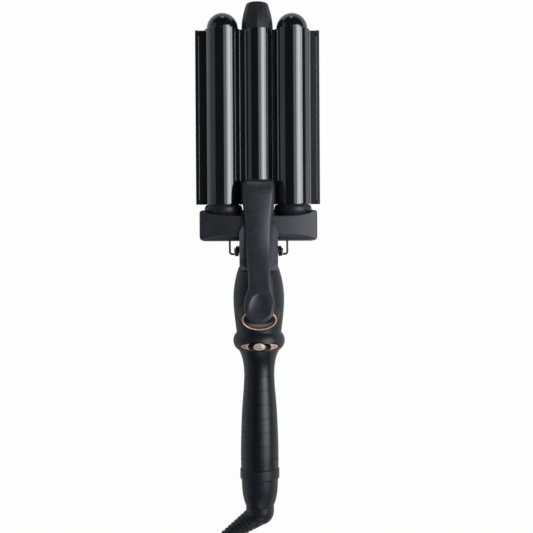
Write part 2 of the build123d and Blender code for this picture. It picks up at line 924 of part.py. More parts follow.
# Under-cover with the hinge boss and the plug that carries the press
plug_start_y = bar_half + lever_plug_gap
with BuildPart() as lever_under_cover:
    add(lever_volume(lever_wall + seat_gap))
    add(under_strip(), mode=Mode.INTERSECT)
    add(cross_rod(hinge_y, hinge_z, cheek_inner_x - running_gap, hinge_boss_r))
    with BuildSketch(Plane.XY.offset(hinge_z)):
        with Locations((0, hinge_y)):
            Rectangle(2 * (lever_outline[3][0] - lever_wall - seat_gap), 2 * hinge_boss_r)
    extrude(amount=lever_middle_z + seat_gap - hinge_z)
    add(rod(0, barrel_axis_z, plug_start_y, press_start_y + lever_plug_length, tube_bore_r - seat_gap))
    with BuildSketch(Plane.XY.offset(barrel_axis_z)):
        with Locations((0, (plug_start_y + press_start_y - seat_gap) / 2)):
            Rectangle(lever_plug_width, press_start_y - seat_gap - plug_start_y)
    extrude(amount=lever_skirt_top + lever_cover_thickness - barrel_axis_z)
    add(cross_rod(hinge_y, hinge_z, cheek_inner_x, bush_r + press_gap), mode=Mode.SUBTRACT)
    with BuildSketch(Plane.XY.offset(hinge_z)):
        with Locations(*lever_screw_places):
            Circle(screw_d / 2 + seat_gap)
    extrude(amount=lever_top_line[-1][1] - hinge_z, mode=Mode.SUBTRACT)
    with BuildSketch(Plane.XY.offset(hinge_z)):
        with Locations(*lever_screw_places):
            Circle(screw_recess_d / 2)
    extrude(amount=lever_screw_z + screw_head_length - hinge_z, mode=Mode.SUBTRACT)
save_piece(lever_under_cover.part, "lever_under_cover")

with BuildPart() as hinge_bush:
    add(cross_rod(hinge_y, hinge_z, cheek_inner_x - running_gap, bush_r))
    add(cross_rod(hinge_y, hinge_z, cheek_inner_x, bush_bore_r), mode=Mode.SUBTRACT)
save_piece(hinge_bush.part, "hinge_bush")

# Two screws hold the under-cover on the shell's posts
save_piece(screws(lever_screw_places, lever_screw_z, lever_screw_length), "lever_screws")

# ---- Handle ----


def housing_profile(inset):
    """Half section of the housing and its ring, from the axis outwards."""
    with BuildSketch() as half:
        with BuildLine():
            start = (housing_start_d / 2 - inset, housing_start_y)
            waist = (waist_d / 2 - inset, waist_y)
            crest = (ring_d / 2 - inset, ring_y)
            foot = (grip_start_d / 2 - inset, grip_start_y)
            Line((0, housing_start_y), start)
            Spline(start, *[(d / 2 - inset, y) for d, y in housing_stations], waist)
            ThreePointArc(waist, crest, foot)
            Line(foot, (0, grip_start_y))
            Line((0, grip_start_y), (0, housing_start_y))
        make_face()
    return half.sketch


def grip_profile(inset):
    """Half section of the grip, from the axis outwards."""
    with BuildSketch() as half:
        with BuildLine():
            start = (grip_start_d / 2 - inset, grip_start_y)
            end = (grip_d / 2 - inset, grip_end_y)
            Line((0, grip_start_y), start)
            Spline(start, *[(d / 2 - inset, y) for d, y in grip_stations], end)
            Line(end, (0, grip_end_y))
            Line((0, grip_end_y), (0, grip_start_y))
        make_face()
    return half.sketch


def turned(profile):
    """Turn a half section about the handle's axis."""
    with BuildPart() as body:
        with BuildSketch(handle_plane):
            add(profile)
        revolve(axis=handle_axis)
    return body.part


def handle_solid(housing_inset, grip_inset):
    """Housing, ring, core under the grip and the spigot for the end pieces, as one solid."""
    spigot_end = end_ring_end_y - end_spigot_length
    with BuildPart() as solid:
        add(turned(housing_profile(housing_inset)))
        add(turned(grip_profile(grip_inset)))
        add(rod(0, handle_z, spigot_end, grip_end_y, end_spigot_r + core_inset - grip_inset))
        with BuildSketch(Plane.YZ):
            with BuildLine():
                Polyline(
                    (housing_start_y, handle_z),
                    (housing_start_y - housing_slant * housing_d, handle_z + housing_d),
                    (housing_start_y, handle_z + housing_d),
                    close=True,
                )
            make_face()
        extrude(amount=housing_d, both=True, mode=Mode.SUBTRACT)
    return solid.part


display_plane = Plane(
    origin=(0, display_y, display_z),
    x_dir=(1, 0, 0),
    z_dir=(0, -math.sin(math.radians(display_tilt)), math.cos(math.radians(display_tilt))),
)


def display_boss_volume(gap):
    """The flared oval boss that carries the display."""
    top_a = display_ring_a + display_boss_margin + gap
    top_b = display_ring_b + display_boss_margin + gap
    with BuildPart() as boss:
        with BuildSketch(display_plane):
            Ellipse(top_a, top_b)
        with BuildSketch(display_plane.offset(-display_boss_depth)):
            Ellipse(display_base_a + gap, display_base_b + gap)
        loft()
        add(handle_inner, mode=Mode.SUBTRACT)
    return boss.part


def strip_outline(grow):
    """The oval outline of the control strip, seen from above, grown by a gap."""
    with BuildSketch() as outline:
        with Locations((0, centre_button_y)):
            Ellipse(strip_half_width + grow, strip_half_height + grow)
    return outline.sketch


def strip_volume(gap, floor_z):
    """The control strip's outline, grown by a gap, from a floor up through the handle's skin."""
    with BuildPart() as volume:
        with BuildSketch(Plane.XY.offset(floor_z)):
            add(strip_outline(gap))
        extrude(amount=ring_d + handle_wall - floor_z)
    return volume.part


handle_screw_places = [
    (sign * handle_screw_x, station) for station in handle_screw_y for sign in sides.values()
]
handle_outer = handle_solid(0.0, core_inset)
handle_inner = handle_solid(handle_wall, core_inset + core_wall)


def handle_shell():
    """The hollow handle with ribbed screw posts, closed at the front but for the neck's spigot."""
    with BuildPart() as shell:
        add(handle_outer)
        add(handle_inner, mode=Mode.SUBTRACT)
        with BuildSketch(handle_plane):
            with Locations(*handle_screw_places):
                Circle(handle_post_d / 2)
            for x, y in handle_screw_places:
                with Locations((2 * x, y)):
                    Rectangle(2 * handle_screw_x, handle_rib)
        extrude(amount=housing_d / 2, both=True)
        add(handle_outer, mode=Mode.INTERSECT)
        with BuildSketch(Plane.XY):
            with Locations(*handle_screw_places):
                Circle(screw_d / 2)
        extrude(amount=handle_screw_top_z, mode=Mode.SUBTRACT)
        with BuildSketch(Plane.XY):
            with Locations(*handle_screw_places):
                Circle(screw_recess_d / 2)
        extrude(amount=handle_screw_head_z + screw_head_length, mode=Mode.SUBTRACT)
        add(rod(0, handle_z, neck_end_y, housing_start_y, spigot_r + seat_gap), mode=Mode.SUBTRACT)
    return shell.part


whole_shell = handle_shell()

with BuildPart() as handle_front_shell:
    add(whole_shell)
    split(bisect_by=handle_plane, keep=Keep.TOP)
    add(display_boss_volume(seat_gap), mode=Mode.SUBTRACT)
    add(strip_volume(seat_gap, strip_floor_z), mode=Mode.SUBTRACT)
save_piece(handle_front_shell.part, "handle_front_shell")

with BuildPart() as handle_rear_shell:
    add(whole_shell)
    split(bisect_by=handle_plane, keep=Keep.BOTTOM)
save_piece(handle_rear_shell.part, "handle_rear_shell")

handle_screw_length = handle_screw_top_z - handle_screw_head_z - screw_head_length - seat_gap
save_piece(screws(handle_screw_places, handle_screw_head_z, handle_screw_length), "handle_screws")

# Grip sleeve with ring grooves
with BuildPart() as grip_sleeve:
    add(turned(grip_profile(0.0)))
    for index in range(grip_groove_count):
        groove_y = grip_waist_y - index * grip_groove_pitch
        groove = rod(0, handle_z, groove_y - grip_groove_width / 2, groove_y + grip_groove_width / 2, grip_d)
        band = turned(grip_profile(grip_groove_depth))
        add(groove - band, mode=Mode.SUBTRACT)
    add(turned(grip_profile(grip_wall)), mode=Mode.SUBTRACT)
save_piece(grip_sleeve.part, "grip_sleeve")

# Ring behind the grip, round the core's end
with BuildPart() as end_ring:
    add(rod(0, handle_z, end_ring_end_y, grip_end_y, end_ring_d / 2))
    fillet(end_ring.edges(), end_ring_round)
    add(
        rod(0, handle_z, end_ring_end_y, grip_end_y, end_spigot_r + seat_gap), mode=Mode.SUBTRACT
    )
save_piece(end_ring.part, "end_ring")


def end_cap_profile(inset):
    """Half section of the end cap, from the axis outwards."""
    with BuildSketch() as half:
        with BuildLine():
            start = (end_cap_d / 2 - inset, end_ring_end_y)
            end = (end_cap_end_d / 2 - inset, end_cap_end_y + inset)
            Line((0, end_ring_end_y), start)
            Spline(start, *[(d / 2 - inset, y + inset / 2) for d, y in end_cap_stations], end)
            Line(end, (0, end_cap_end_y + inset))
            Line((0, end_cap_end_y + inset), (0, end_ring_end_y))
        make_face()
    return half.sketch


# End cap with the swivel's bearing
swivel_bore_r = swivel_shaft_d / 2 + shaft_gap
bearing_y = end_cap_end_y + swivel_bearing_length
with BuildPart() as end_cap:
    add(turned(end_cap_profile(0.0)))
    add(turned(end_cap_profile(end_cap_wall)), mode=Mode.SUBTRACT)
    add(rod(0, handle_z, end_cap_end_y, bearing_y, swivel_bore_r + end_cap_wall))
    add(rod(0, handle_z, end_cap_end_y, bearing_y, swivel_bore_r), mode=Mode.SUBTRACT)
save_piece(end_cap.part, "end_cap")

# Fixed contact block inside the end cap
contact_start_y = bearing_y + swivel_face_gap * 2 + swivel_flange_length
with BuildPart() as contact_block:
    add(rod(0, handle_z, contact_start_y, contact_start_y + contact_block_length, contact_block_d / 2))
    disc_r = end_spigot_r - core_wall - seat_gap
    add(rod(0, handle_z, end_ring_end_y - end_spigot_length, end_ring_end_y, disc_r))
save_piece(contact_block.part, "contact_block")

# ---- Display ----


def display_disc(a, b, bottom, top):
    """An oval disc between two heights above the display's plane."""
    with BuildPart() as disc:
        with BuildSketch(display_plane.offset(bottom)):
            Ellipse(a, b)
        extrude(amount=top - bottom)
    return disc.part


ring_inner_a = display_ring_a - display_ring_width
ring_inner_b = display_ring_b - display_ring_width
lens_bottom = display_ring_rise - display_lens_thickness

# Glossy boss that carries the ring, the lens and the display behind it
with BuildPart() as display_boss:
    add(display_boss_volume(0.0))
    seat_a = display_ring_a + seat_gap
    seat_b = display_ring_b + seat_gap
    add(display_disc(seat_a, seat_b, -display_ring_depth - seat_gap, display_ring_rise), mode=Mode.SUBTRACT)
    window_a = ring_inner_a - display_ledge
    window_b = ring_inner_b - display_ledge
    add(display_disc(window_a, window_b, -display_boss_depth, display_ring_rise), mode=Mode.SUBTRACT)
save_piece(display_boss.part, "display_boss")

with BuildPart() as display_ring:
    add(display_disc(display_ring_a, display_ring_b, -display_ring_depth, display_ring_rise))
    add(
        display_disc(ring_inner_a, ring_inner_b, -display_ring_depth, display_ring_rise), mode=Mode.SUBTRACT
    )
save_piece(display_ring.part, "display_ring")

lens_a = ring_inner_a - seat_gap
lens_b = ring_inner_b - seat_gap
save_piece(display_disc(lens_a, lens_b, lens_bottom, display_ring_rise - seat_gap), "display_lens")

module_top = lens_bottom - seat_gap
save_piece(
    display_disc(display_module_a, display_module_b, module_top - display_module_length, module_top),
    "display_module",
)

# ---- Controls ----

button_stem_z = control_board_z + board_thickness + switch_height + button_travel + seat_gap


def side_button_outline(sign, gap):
    """One side button: the strip's end, hollowed towards the middle."""
    with BuildSketch() as outline:
        add(strip_outline(gap - side_button_margin))
        with Locations((0, centre_button_y)):
            Ellipse(recess_a - gap, recess_b - gap, mode=Mode.SUBTRACT)
        cut_width = strip_half_width + side_button_tail_x - gap
        with Locations((sign * (side_button_tail_x - gap - cut_width / 2), centre_button_y)):
            Rectangle(cut_width, strip_half_width, mode=Mode.SUBTRACT)
    return outline.sketch


def centre_button_outline(gap):
    """The oval middle button."""
    with BuildSketch() as outline:
        with Locations((0, centre_button_y)):
            Ellipse(centre_button_a + gap, centre_button_b + gap)
    return outline.sketch


# Each button's outline and the place of its stem
button_outlines = {
    "minus_button": (lambda gap: side_button_outline(-1, gap), (-side_button_stem_x, side_button_stem_y)),
    "power_button": (centre_button_outline, (0.0, centre_button_y)),
    "plus_button": (lambda gap: side_button_outline(1, gap), (side_button_stem_x, side_button_stem_y)),
}

# Glossy strip with the buttons' openings
with BuildPart() as control_strip:
    add(strip_volume(0.0, strip_floor_z))
    add(turned(housing_profile(strip_recess)), mode=Mode.INTERSECT)
    for outline_of, _ in button_outlines.values():
        with BuildSketch(Plane.XY.offset(strip_floor_z)):
            add(outline_of(button_gap))
        extrude(amount=ring_d, mode=Mode.SUBTRACT)
save_piece(control_strip.part, "control_strip")

for name, (outline_of, stem_place) in button_outlines.items():
    with BuildPart() as button:
        with BuildSketch(Plane.XY.offset(button_floor_z)):
            add(outline_of(0.0))
        extrude(amount=ring_d)
        add(turned(housing_profile(-button_rise)), mode=Mode.INTERSECT)
        with BuildSketch(Plane.XY.offset(button_stem_z)):
            with Locations(stem_place):
                Rectangle(button_stem, button_stem)
        extrude(amount=button_floor_z + button_rise - button_stem_z)
    save_piece(button.part, name)

with BuildPart() as control_board:
    with BuildSketch(Plane.XY.offset(control_board_z)):
        with Locations((0, control_board_start_y - control_board_length / 2)):
            Rectangle(control_board_width, control_board_length)
    extrude(amount=board_thickness)
save_piece(control_board.part, "control_board")

with BuildPart() as button_switches:
    with BuildSketch(Plane.XY.offset(control_board_z + board_thickness)):
        with Locations(*[stem_place for _, stem_place in button_outlines.values()]):
            Rectangle(switch_size, switch_size)
    extrude(amount=switch_height)
save_piece(button_switches.part, "button_switches")

# ---- Main board and leads ----

board_bottom_z = handle_z - board_thickness / 2
board_top_z = board_bottom_z + board_thickness
with BuildPart() as main_board:
    with BuildSketch(Plane.XY.offset(board_bottom_z)):
        with Locations((0, main_board_start_y - main_board_length / 2)):
            Rectangle(main_board_width, main_board_length)
    extrude(amount=board_thickness)
save_piece(main_board.part, "main_board")

with BuildPart() as board_parts:
    capacitor_z = board_top_z + capacitor_d / 2
    add(rod(0, capacitor_z, capacitor_y - capacitor_length, capacitor_y, capacitor_d / 2))
    with BuildSketch(Plane.XY.offset(board_top_z)):
        with Locations((0, relay_y)):
            Rectangle(relay_width, relay_length)
    extrude(amount=relay_height)
save_piece(board_parts.part, "board_parts")

with BuildPart() as heater_leads:
    for place in (-lead_spacing, 0.0, lead_spacing):
        add(rod(place, lead_z, main_board_start_y - lead_overlap, lead_start_y, lead_d / 2))
save_piece(heater_leads.part, "heater_leads")

# ---- Swivel elbow and strain relief ----

heading = math.radians(cord_heading)
cord_way = Vector(-math.cos(heading), -math.sin(heading), 0)
elbow_corner = Vector(0, elbow_corner_y, handle_z)
relief_plane = Plane(origin=elbow_corner, x_dir=(cord_way.Y, -cord_way.X, 0), z_dir=(0, 0, 1))
relief_axis = Axis(elbow_corner, cord_way)
relief_end_at = elbow_root_length + relief_length

with BuildPart() as swivel_elbow:
    elbow_face_y = end_cap_end_y - swivel_face_gap
    flange_y = bearing_y + swivel_face_gap
    add(rod(0, handle_z, elbow_ball_y, elbow_face_y, elbow_d / 2))
    with Locations((0, elbow_ball_y, handle_z)):
        Sphere(elbow_d / 2)
    split(bisect_by=section_plane(elbow_face_y), keep=Keep.TOP)
    add(rod(0, handle_z, elbow_face_y, flange_y, swivel_shaft_d / 2))
    add(rod(0, handle_z, flange_y, flange_y + swivel_flange_length, swivel_flange_d / 2))
    with BuildSketch(relief_plane):
        with BuildLine():
            Polyline(
                (0, 0),
                (elbow_root_d / 2, 0),
                (relief_start_d / 2, elbow_root_length),
                (0, elbow_root_length),
                close=True,
            )
        make_face()
    revolve(axis=relief_axis)
save_piece(swivel_elbow.part, "swivel_elbow")


def relief_profile():
    """Half section of the ribbed strain relief, with a plain tip."""
    rib_count = int((relief_length - relief_tip_length) / rib_pitch)
    taper = (relief_start_d - relief_end_d) / 2 / relief_length
    points = [(0, elbow_root_length)]
    for index in range(rib_count):
        for along in (index * rib_pitch, index * rib_pitch + rib_width):
            radius = relief_start_d / 2 - taper * along
            points.append((radius, elbow_root_length + along))
            if along > index * rib_pitch:
                points.append((radius - rib_depth, elbow_root_length + along))
                next_along = (index + 1) * rib_pitch
                points.append((radius - rib_depth, elbow_root_length + next_along))
    points.append((relief_end_d / 2, elbow_root_length + rib_count * rib_pitch))
    points.append((relief_end_d / 2, relief_end_at))
    points.append((0, relief_end_at))
    return points


with BuildPart() as strain_relief:
    with BuildSketch(relief_plane):
        with BuildLine():
            Polyline(*relief_profile(), close=True)
        make_face()
    revolve(axis=relief_axis)
    add(swivel_elbow.part, mode=Mode.SUBTRACT)
save_piece(strain_relief.part, "strain_relief")

# ---- Cord, coil and plug ----


def route_tube(points, name):
    """A tube of straight runs joined by tangent arcs as large as the runs allow."""
    corners = [Vector(*point) for point in points]
    radii = []
    for before, corner, after in zip(corners, corners[1:], corners[2:]):
        turn = math.radians((corner - before).get_angle(after - corner))
        shorter = min((corner - before).length, (after - corner).length)
        radii.append(arc_share * shorter / math.tan(turn / 2))
    with BuildPart() as tube:
        with BuildLine() as route:
            FilletPolyline(*corners, radius=radii)
        with BuildSketch(Plane(origin=route.wire() @ 0, z_dir=route.wire() % 0)):
            Circle(cord_r)
        sweep(path=route.wire())
    length = route.wire().length
    share = tube.part.volume / (math.pi * cord_r**2 * length)
    print(name, "radii", [round(radius, 1) for radius in radii])
    print(name, "length", round(length, 1), "volume share", round(share, 4))
    return tube.part


relief_end = elbow_corner + cord_way * relief_end_at
cord_points = [(x, elbow_corner_y + y, z) for x, y, z in cord_run]
tail_points = [(x, elbow_corner_y + y, z) for x, y, z in tail_run]
save_piece(route_tube((tuple(relief_end), *cord_points), "cord_tube"), "cord_tube")
save_piece(route_tube(tail_points, "cord_tail"), "cord_tail")

with BuildPart() as cord_coil:
    coil_half = coil_rows * cord_r
    with BuildSketch(Plane.XY.offset(table_gap)):
        with Locations(coil_centre):
            Circle(coil_mean_r + coil_half)
            Circle(coil_mean_r - coil_half, mode=Mode.SUBTRACT)
    extrude(amount=coil_layers * cord_d)
save_piece(cord_coil.part, "cord_coil")

plug_angle = math.radians(plug_heading)
plug_way = Vector(math.cos(plug_angle), math.sin(plug_angle), 0)
plug_plane = Plane(origin=tail_points[-1], x_dir=(-plug_way.Y, plug_way.X, 0), z_dir=plug_way)
with BuildPart() as plug_body:
    with BuildSketch(plug_plane):
        Circle(plug_neck_d / 2)
    extrude(amount=plug_neck_length)
    with BuildSketch(plug_plane.offset(plug_neck_length)):
        RectangleRounded(plug_width, plug_height, plug_round)
    extrude(amount=plug_length)
save_piece(plug_body.part, "plug_body")

with BuildPart() as plug_blades:
    with BuildSketch(plug_plane.offset(plug_neck_length + plug_length)):
        with Locations((-blade_spacing / 2, 0), (blade_spacing / 2, 0)):
            Rectangle(blade_thickness, blade_width)
    extrude(amount=blade_length)
save_piece(plug_blades.part, "plug_blades")
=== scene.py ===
"""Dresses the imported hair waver: finishes, lever, cord, plug, display and studio."""

import json
import logging
import math
from dataclasses import dataclass
from enum import Enum
from typing import Any, Iterable, Mapping, Sequence

import bmesh
import bpy
import numpy as np
from mathutils import Matrix

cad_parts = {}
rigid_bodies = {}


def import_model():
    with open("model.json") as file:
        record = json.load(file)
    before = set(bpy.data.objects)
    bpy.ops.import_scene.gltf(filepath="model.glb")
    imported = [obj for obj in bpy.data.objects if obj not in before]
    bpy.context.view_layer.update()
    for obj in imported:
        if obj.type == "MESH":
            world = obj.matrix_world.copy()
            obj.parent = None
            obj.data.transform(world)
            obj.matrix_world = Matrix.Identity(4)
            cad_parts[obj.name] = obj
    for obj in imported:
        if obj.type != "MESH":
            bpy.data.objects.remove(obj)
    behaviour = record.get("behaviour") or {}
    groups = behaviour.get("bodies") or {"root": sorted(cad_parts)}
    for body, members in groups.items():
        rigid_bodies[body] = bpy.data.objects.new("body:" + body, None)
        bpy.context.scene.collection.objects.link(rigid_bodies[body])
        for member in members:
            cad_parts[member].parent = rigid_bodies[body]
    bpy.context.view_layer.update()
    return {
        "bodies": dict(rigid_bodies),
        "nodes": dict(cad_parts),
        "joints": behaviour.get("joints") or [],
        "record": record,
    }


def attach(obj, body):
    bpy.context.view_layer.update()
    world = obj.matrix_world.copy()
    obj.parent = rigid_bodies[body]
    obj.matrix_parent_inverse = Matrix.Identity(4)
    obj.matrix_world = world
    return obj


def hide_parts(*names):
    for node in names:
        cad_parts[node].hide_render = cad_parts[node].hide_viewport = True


log = logging.getLogger("hair_waver")

MM = 0.001  # in metres
TIP_SHARE = 0.004  # the size of a dome's last ring, as a share of its first
BEVEL_SAMPLES = 6
SIDES = (("left", -1), ("right", 1))
WHITE = {"Color": (1.0, 1.0, 1.0, 1.0), "Strength": 1.0}
Colour = tuple[float, float, float]
Point = tuple[float, float, float]
Pair = tuple[float, float]
Table = tuple[Pair, ...]
Array = np.ndarray
Frame = Mapping[str, Any]
Sockets = Mapping[int | str, Any]


# ---- Shader maths ----


class Value:
    """A node socket that takes part in Python expressions."""

    def __init__(self, graph: "Graph", socket: bpy.types.NodeSocket | None) -> None:
        """Keep the socket and the graph that it belongs to."""
        self.graph = graph
        self.socket = socket

    def _maths(self, operation: str, first: "Value | float", second: "Value | float") -> "Value":
        """Return the result of a Math node on two values."""
        return self.graph.node("Math", {0: first, 1: second}, operation=operation)

    def __add__(self, other: "Value | float") -> "Value":
        """Return self + other."""
        return self._maths("ADD", self, other)

    __radd__ = __add__

    def __sub__(self, other: "Value | float") -> "Value":
        """Return self - other."""
        return self._maths("SUBTRACT", self, other)

    def __rsub__(self, other: float) -> "Value":
        """Return other - self."""
        return self._maths("SUBTRACT", other, self)

    def __mul__(self, other: "Value | float") -> "Value":
        """Return self * other."""
        return self._maths("MULTIPLY", self, other)

    __rmul__ = __mul__

    def __gt__(self, other: "Value | float") -> "Value":
        """Return 1 where self is above other and 0 elsewhere."""
        return self._maths("GREATER_THAN", self, other)

    def eased(self, low: float, high: float) -> "Value":
        """Return 0 below low and 1 above high, with a smooth step between them."""
        sockets = {"Value": self, "From Min": low, "From Max": high}
        return self.graph.node("MapRange", sockets, interpolation_type="SMOOTHSTEP")


class Graph:
    """The nodes of a material or a world, made through one method."""

    def __init__(self, owner: bpy.types.Material | bpy.types.World) -> None:
        """Keep the owner's node tree and empty it."""
        owner.use_nodes = True
        self.tree = owner.node_tree
        self.tree.nodes.clear()

    def node(self, kind: str, sockets: Sockets, output: int | str = 0, **settings: Any) -> Value:
        """Add a node.

        Args:
            kind: The node's type, without the prefix that all types share.
            sockets: Numbers, colours or values for its inputs.
            output: The output that is wanted.
            settings: Its properties, set before the sockets.

        Returns:
            The wanted output as a value.
        """
        node = self.tree.nodes.new("ShaderNode" + kind)
        for key, setting in settings.items():
            setattr(node, key, setting)
        for key, value in sockets.items():
            if isinstance(value, Value):
                self.tree.links.new(value.socket, node.inputs[key])
            else:
                node.inputs[key].default_value = value
        return Value(self, node.outputs[output] if len(node.outputs) else None)

    def ray(self, kind: str) -> Value:
        """Return 1 for rays of a kind, such as Camera, and 0 for others."""
        return self.node("LightPath", {}, output=f"Is {kind} Ray")

    def noise(
        self, scale: float, detail: float = 3.0, roughness: float = 0.5, stretch: Point = (1.0, 1.0, 1.0)
    ) -> Value:
        """Return smooth noise over a piece.

        Args:
            scale: How many features there are in a metre.
            detail: How many finer layers it has.
            roughness: How strong each finer layer is.
            stretch: What the piece's own x, y and z are multiplied by.

        Returns:
            The noise, from about 0 to 1.
        """
        place = self.node("TexCoord", {}, output="Object")
        place = self.node("VectorMath", {0: place, 1: stretch}, operation="MULTIPLY")
        sockets = {"Vector": place, "Scale": scale, "Detail": detail, "Roughness": roughness}
        return self.node("TexNoise", sockets)

    def mix(self, factor: Value | float, first: Colour | Value, second: Colour | Value) -> Value:
        """Return a colour between two, by a factor."""
        ends = {key: end if isinstance(end, Value) else (*end, 1.0) for key, end in ((6, first), (7, second))}
        return self.node("Mix", {0: factor, **ends}, output=2, data_type="RGBA")

    def relief(self, height: Value, depth: float, edge: float) -> Value:
        """Return a normal with bumps of a depth, on edges that look rounded to a radius, both in mm."""
        rounded = self.node("Bevel", {"Radius": edge * MM}, samples=BEVEL_SAMPLES)
        return self.node("Bump", {"Height": height, "Distance": depth * MM, "Normal": rounded})


# ---- Finishes ----


@dataclass(frozen=True)
class Finish:
    """A surface finish."""

    name: str
    colour: Colour
    roughness: float
    slot: str
    edge: float = 0.35

    def sockets(self, graph: Graph) -> dict[str, Any]:
        """Return the shader's inputs: numbers, and values that change over the surface."""
        raise NotImplementedError

    def tone(self, graph: Graph, amount: Value, lift: float) -> Value:
        """Return the finish's colour, lightened by up to a share where amount is 1."""
        lighter = tuple(min(1.0, part * (1.0 + lift)) for part in self.colour)
        return graph.mix(amount, self.colour, lighter)

    def material(self) -> bpy.types.Material:
        """Return the finish's material, made at its first use."""
        found = bpy.data.materials.get(self.name)
        if found is not None:
            return found
        material = bpy.data.materials.new(self.name)
        graph = Graph(material)
        shader = graph.node("BsdfPrincipled", self.sockets(graph))
        graph.node("OutputMaterial", {"Surface": shader})
        return material


@dataclass(frozen=True)
class SoftTouch(Finish):
    """Moulded plastic or rubber with a fine spark-eroded grain and faint handling marks."""

    grain: float = 1700.0
    depth: float = 0.03
    lift: float = 0.35
    sheen: float = 0.0

    def sockets(self, graph: Graph) -> dict[str, Any]:
        """Return a soft coat with mottling, handled and unhandled areas, and the grain."""
        grain = graph.noise(scale=self.grain, detail=2.0, roughness=0.6)
        mottle = graph.noise(scale=160.0, detail=4.0)
        handled = graph.noise(scale=42.0, roughness=0.6, stretch=(1.0, 0.4, 1.0))
        return {
            "Sheen Weight": self.sheen,
            "Sheen Roughness": 0.45,
            "IOR": 1.48,
            "Base Color": self.tone(graph, mottle.eased(0.3, 0.75), self.lift),
            "Roughness": self.roughness + (handled - 0.5) * 0.16 + (grain - 0.5) * 0.08,
            "Normal": graph.relief(grain, self.depth, self.edge),
        }


@dataclass(frozen=True)
class GlossCoat(Finish):
    """Glossy coating baked on drawn aluminium, with faint lines along the extrusion."""

    ior: float = 1.8
    coat: float = 0.8

    def sockets(self, graph: Graph) -> dict[str, Any]:
        """Return a strong reflection with draw lines, a slightly uneven gloss and a wiped coat."""
        lines = graph.noise(scale=1.0, roughness=0.6, stretch=(900.0, 9.0, 900.0))
        cloud = graph.noise(scale=60.0, stretch=(1.0, 0.25, 1.0))
        return {
            "IOR": self.ior,
            "Coat Roughness": 0.04,
            "Base Color": self.tone(graph, cloud.eased(0.35, 0.7), 0.4),
            "Roughness": self.roughness + (lines - 0.5) * 0.05 + (cloud - 0.5) * 0.05,
            "Coat Weight": self.coat + (cloud - 0.5) * 0.3,
            "Normal": graph.relief(lines, 0.0025, self.edge),
        }


@dataclass(frozen=True)
class PianoGloss(Finish):
    """High-gloss moulded plastic with hairline wiping scratches."""

    def sockets(self, graph: Graph) -> dict[str, Any]:
        """Return a clear skin with hairlines that lower the gloss, and a faint flow in the moulding."""
        hairs = graph.noise(scale=420.0, detail=5.0, roughness=0.8, stretch=(1.0, 7.0, 1.0))
        flow = graph.noise(scale=75.0, detail=2.0)
        return {
            "IOR": 1.5,
            "Coat Roughness": 0.03,
            "Base Color": self.tone(graph, flow, 0.5),
            "Roughness": self.roughness + hairs.eased(0.6, 0.75) * 0.1,
            "Coat Weight": 0.6 + flow * 0.4,
            "Normal": graph.relief(flow, 0.01, self.edge),
        }


@dataclass(frozen=True)
class Metal(Finish):
    """Bare or plated metal: brushed, drawn or polished, with a share of plain non-metal colour; the middle
    button's lighter rose copy is a painted highlight.
    """

    metallic: float = 1.0
    stretch: Point = (1.0, 1.0, 1.0)
    scale: float = 900.0
    depth: float = 0.004
    spread: float = 0.12

    def sockets(self, graph: Graph) -> dict[str, Any]:
        """Return the share of metal, the brushing and a slight tint of handling."""
        brushed = graph.noise(scale=self.scale, roughness=0.6, stretch=self.stretch)
        tint = graph.noise(scale=240.0)
        return {
            "Metallic": self.metallic,
            "Base Color": self.tone(graph, tint, 0.12),
            "Roughness": self.roughness + (brushed - 0.5) * self.spread + (tint - 0.5) * 0.06,
            "Normal": graph.relief(brushed, self.depth, self.edge),
        }


@dataclass(frozen=True)
class CordJacket(Finish):
    """Extruded cord jacket with a satin, slightly uneven skin and dust on it."""

    def sockets(self, graph: Graph) -> dict[str, Any]:
        """Return a soft sheen with dust, satin patches and a slightly uneven skin."""
        skin = graph.noise(scale=650.0, roughness=0.55)
        dust = graph.noise(scale=130.0, detail=5.0, roughness=0.65)
        return {
            "IOR": 1.5,
            "Sheen Weight": 0.08,
            "Sheen Roughness": 0.5,
            "Base Color": self.tone(graph, dust.eased(0.5, 0.8), 0.8),
            "Roughness": self.roughness + (dust - 0.5) * 0.2,
            "Normal": graph.relief(skin, 0.05, self.edge),
        }


@dataclass(frozen=True)
class BoardResist(Finish):
    """Solder resist over a board's copper, with fine tracks."""

    copper: Colour = (0.12, 0.30, 0.12)

    def sockets(self, graph: Graph) -> dict[str, Any]:
        """Return tracks that stand a little proud of the board."""
        tracks = graph.noise(scale=380.0, detail=1.0, stretch=(1.0, 3.0, 1.0)) > 0.52
        weave = graph.noise(scale=1500.0, detail=2.0)
        return {
            "Base Color": graph.mix(tracks, self.colour, self.copper),
            "Roughness": self.roughness + weave * 0.1,
            "Normal": graph.relief(tracks + weave * 0.2, 0.03, self.edge),
        }


BLACK_SHELL = SoftTouch("black_shell", (0.0115, 0.0124, 0.0165), 0.36, "handle_plastic", edge=0.5)
# Painted light: the neck fork gets a far lighter copy of the black handle plastic, which lifts its cheeks out
# of the lever's shadow.
NECK_PAINTED_LIGHT = SoftTouch("neck_painted_light", (0.1, 0.102, 0.114), 0.38, "handle_plastic", edge=0.5)
BLACK_BAR = SoftTouch("black_bar", (0.033, 0.0345, 0.04), 0.36, "bar_plastic", edge=0.5)
LEVER_SKIN = SoftTouch("lever_skin", (0.04, 0.041, 0.0465), 0.33, "handle_plastic", edge=0.3)
TIP_SKIN = SoftTouch("tip_skin", (0.023, 0.0236, 0.027), 0.4, "handle_plastic", edge=0.2)
BOSS_SKIN = SoftTouch("boss_skin", (0.002, 0.0021, 0.0026), 0.52, "gloss_black", edge=0.6, depth=0.01)
GRIP_SKIN = SoftTouch("grip_skin", (0.009, 0.0095, 0.0115), 0.29, "grip_rubber", edge=0.25, sheen=0.04)
BARREL_COAT = GlossCoat("barrel_coat", (0.0035, 0.0036, 0.0042), 0.11, "coated_barrel", edge=0.3)
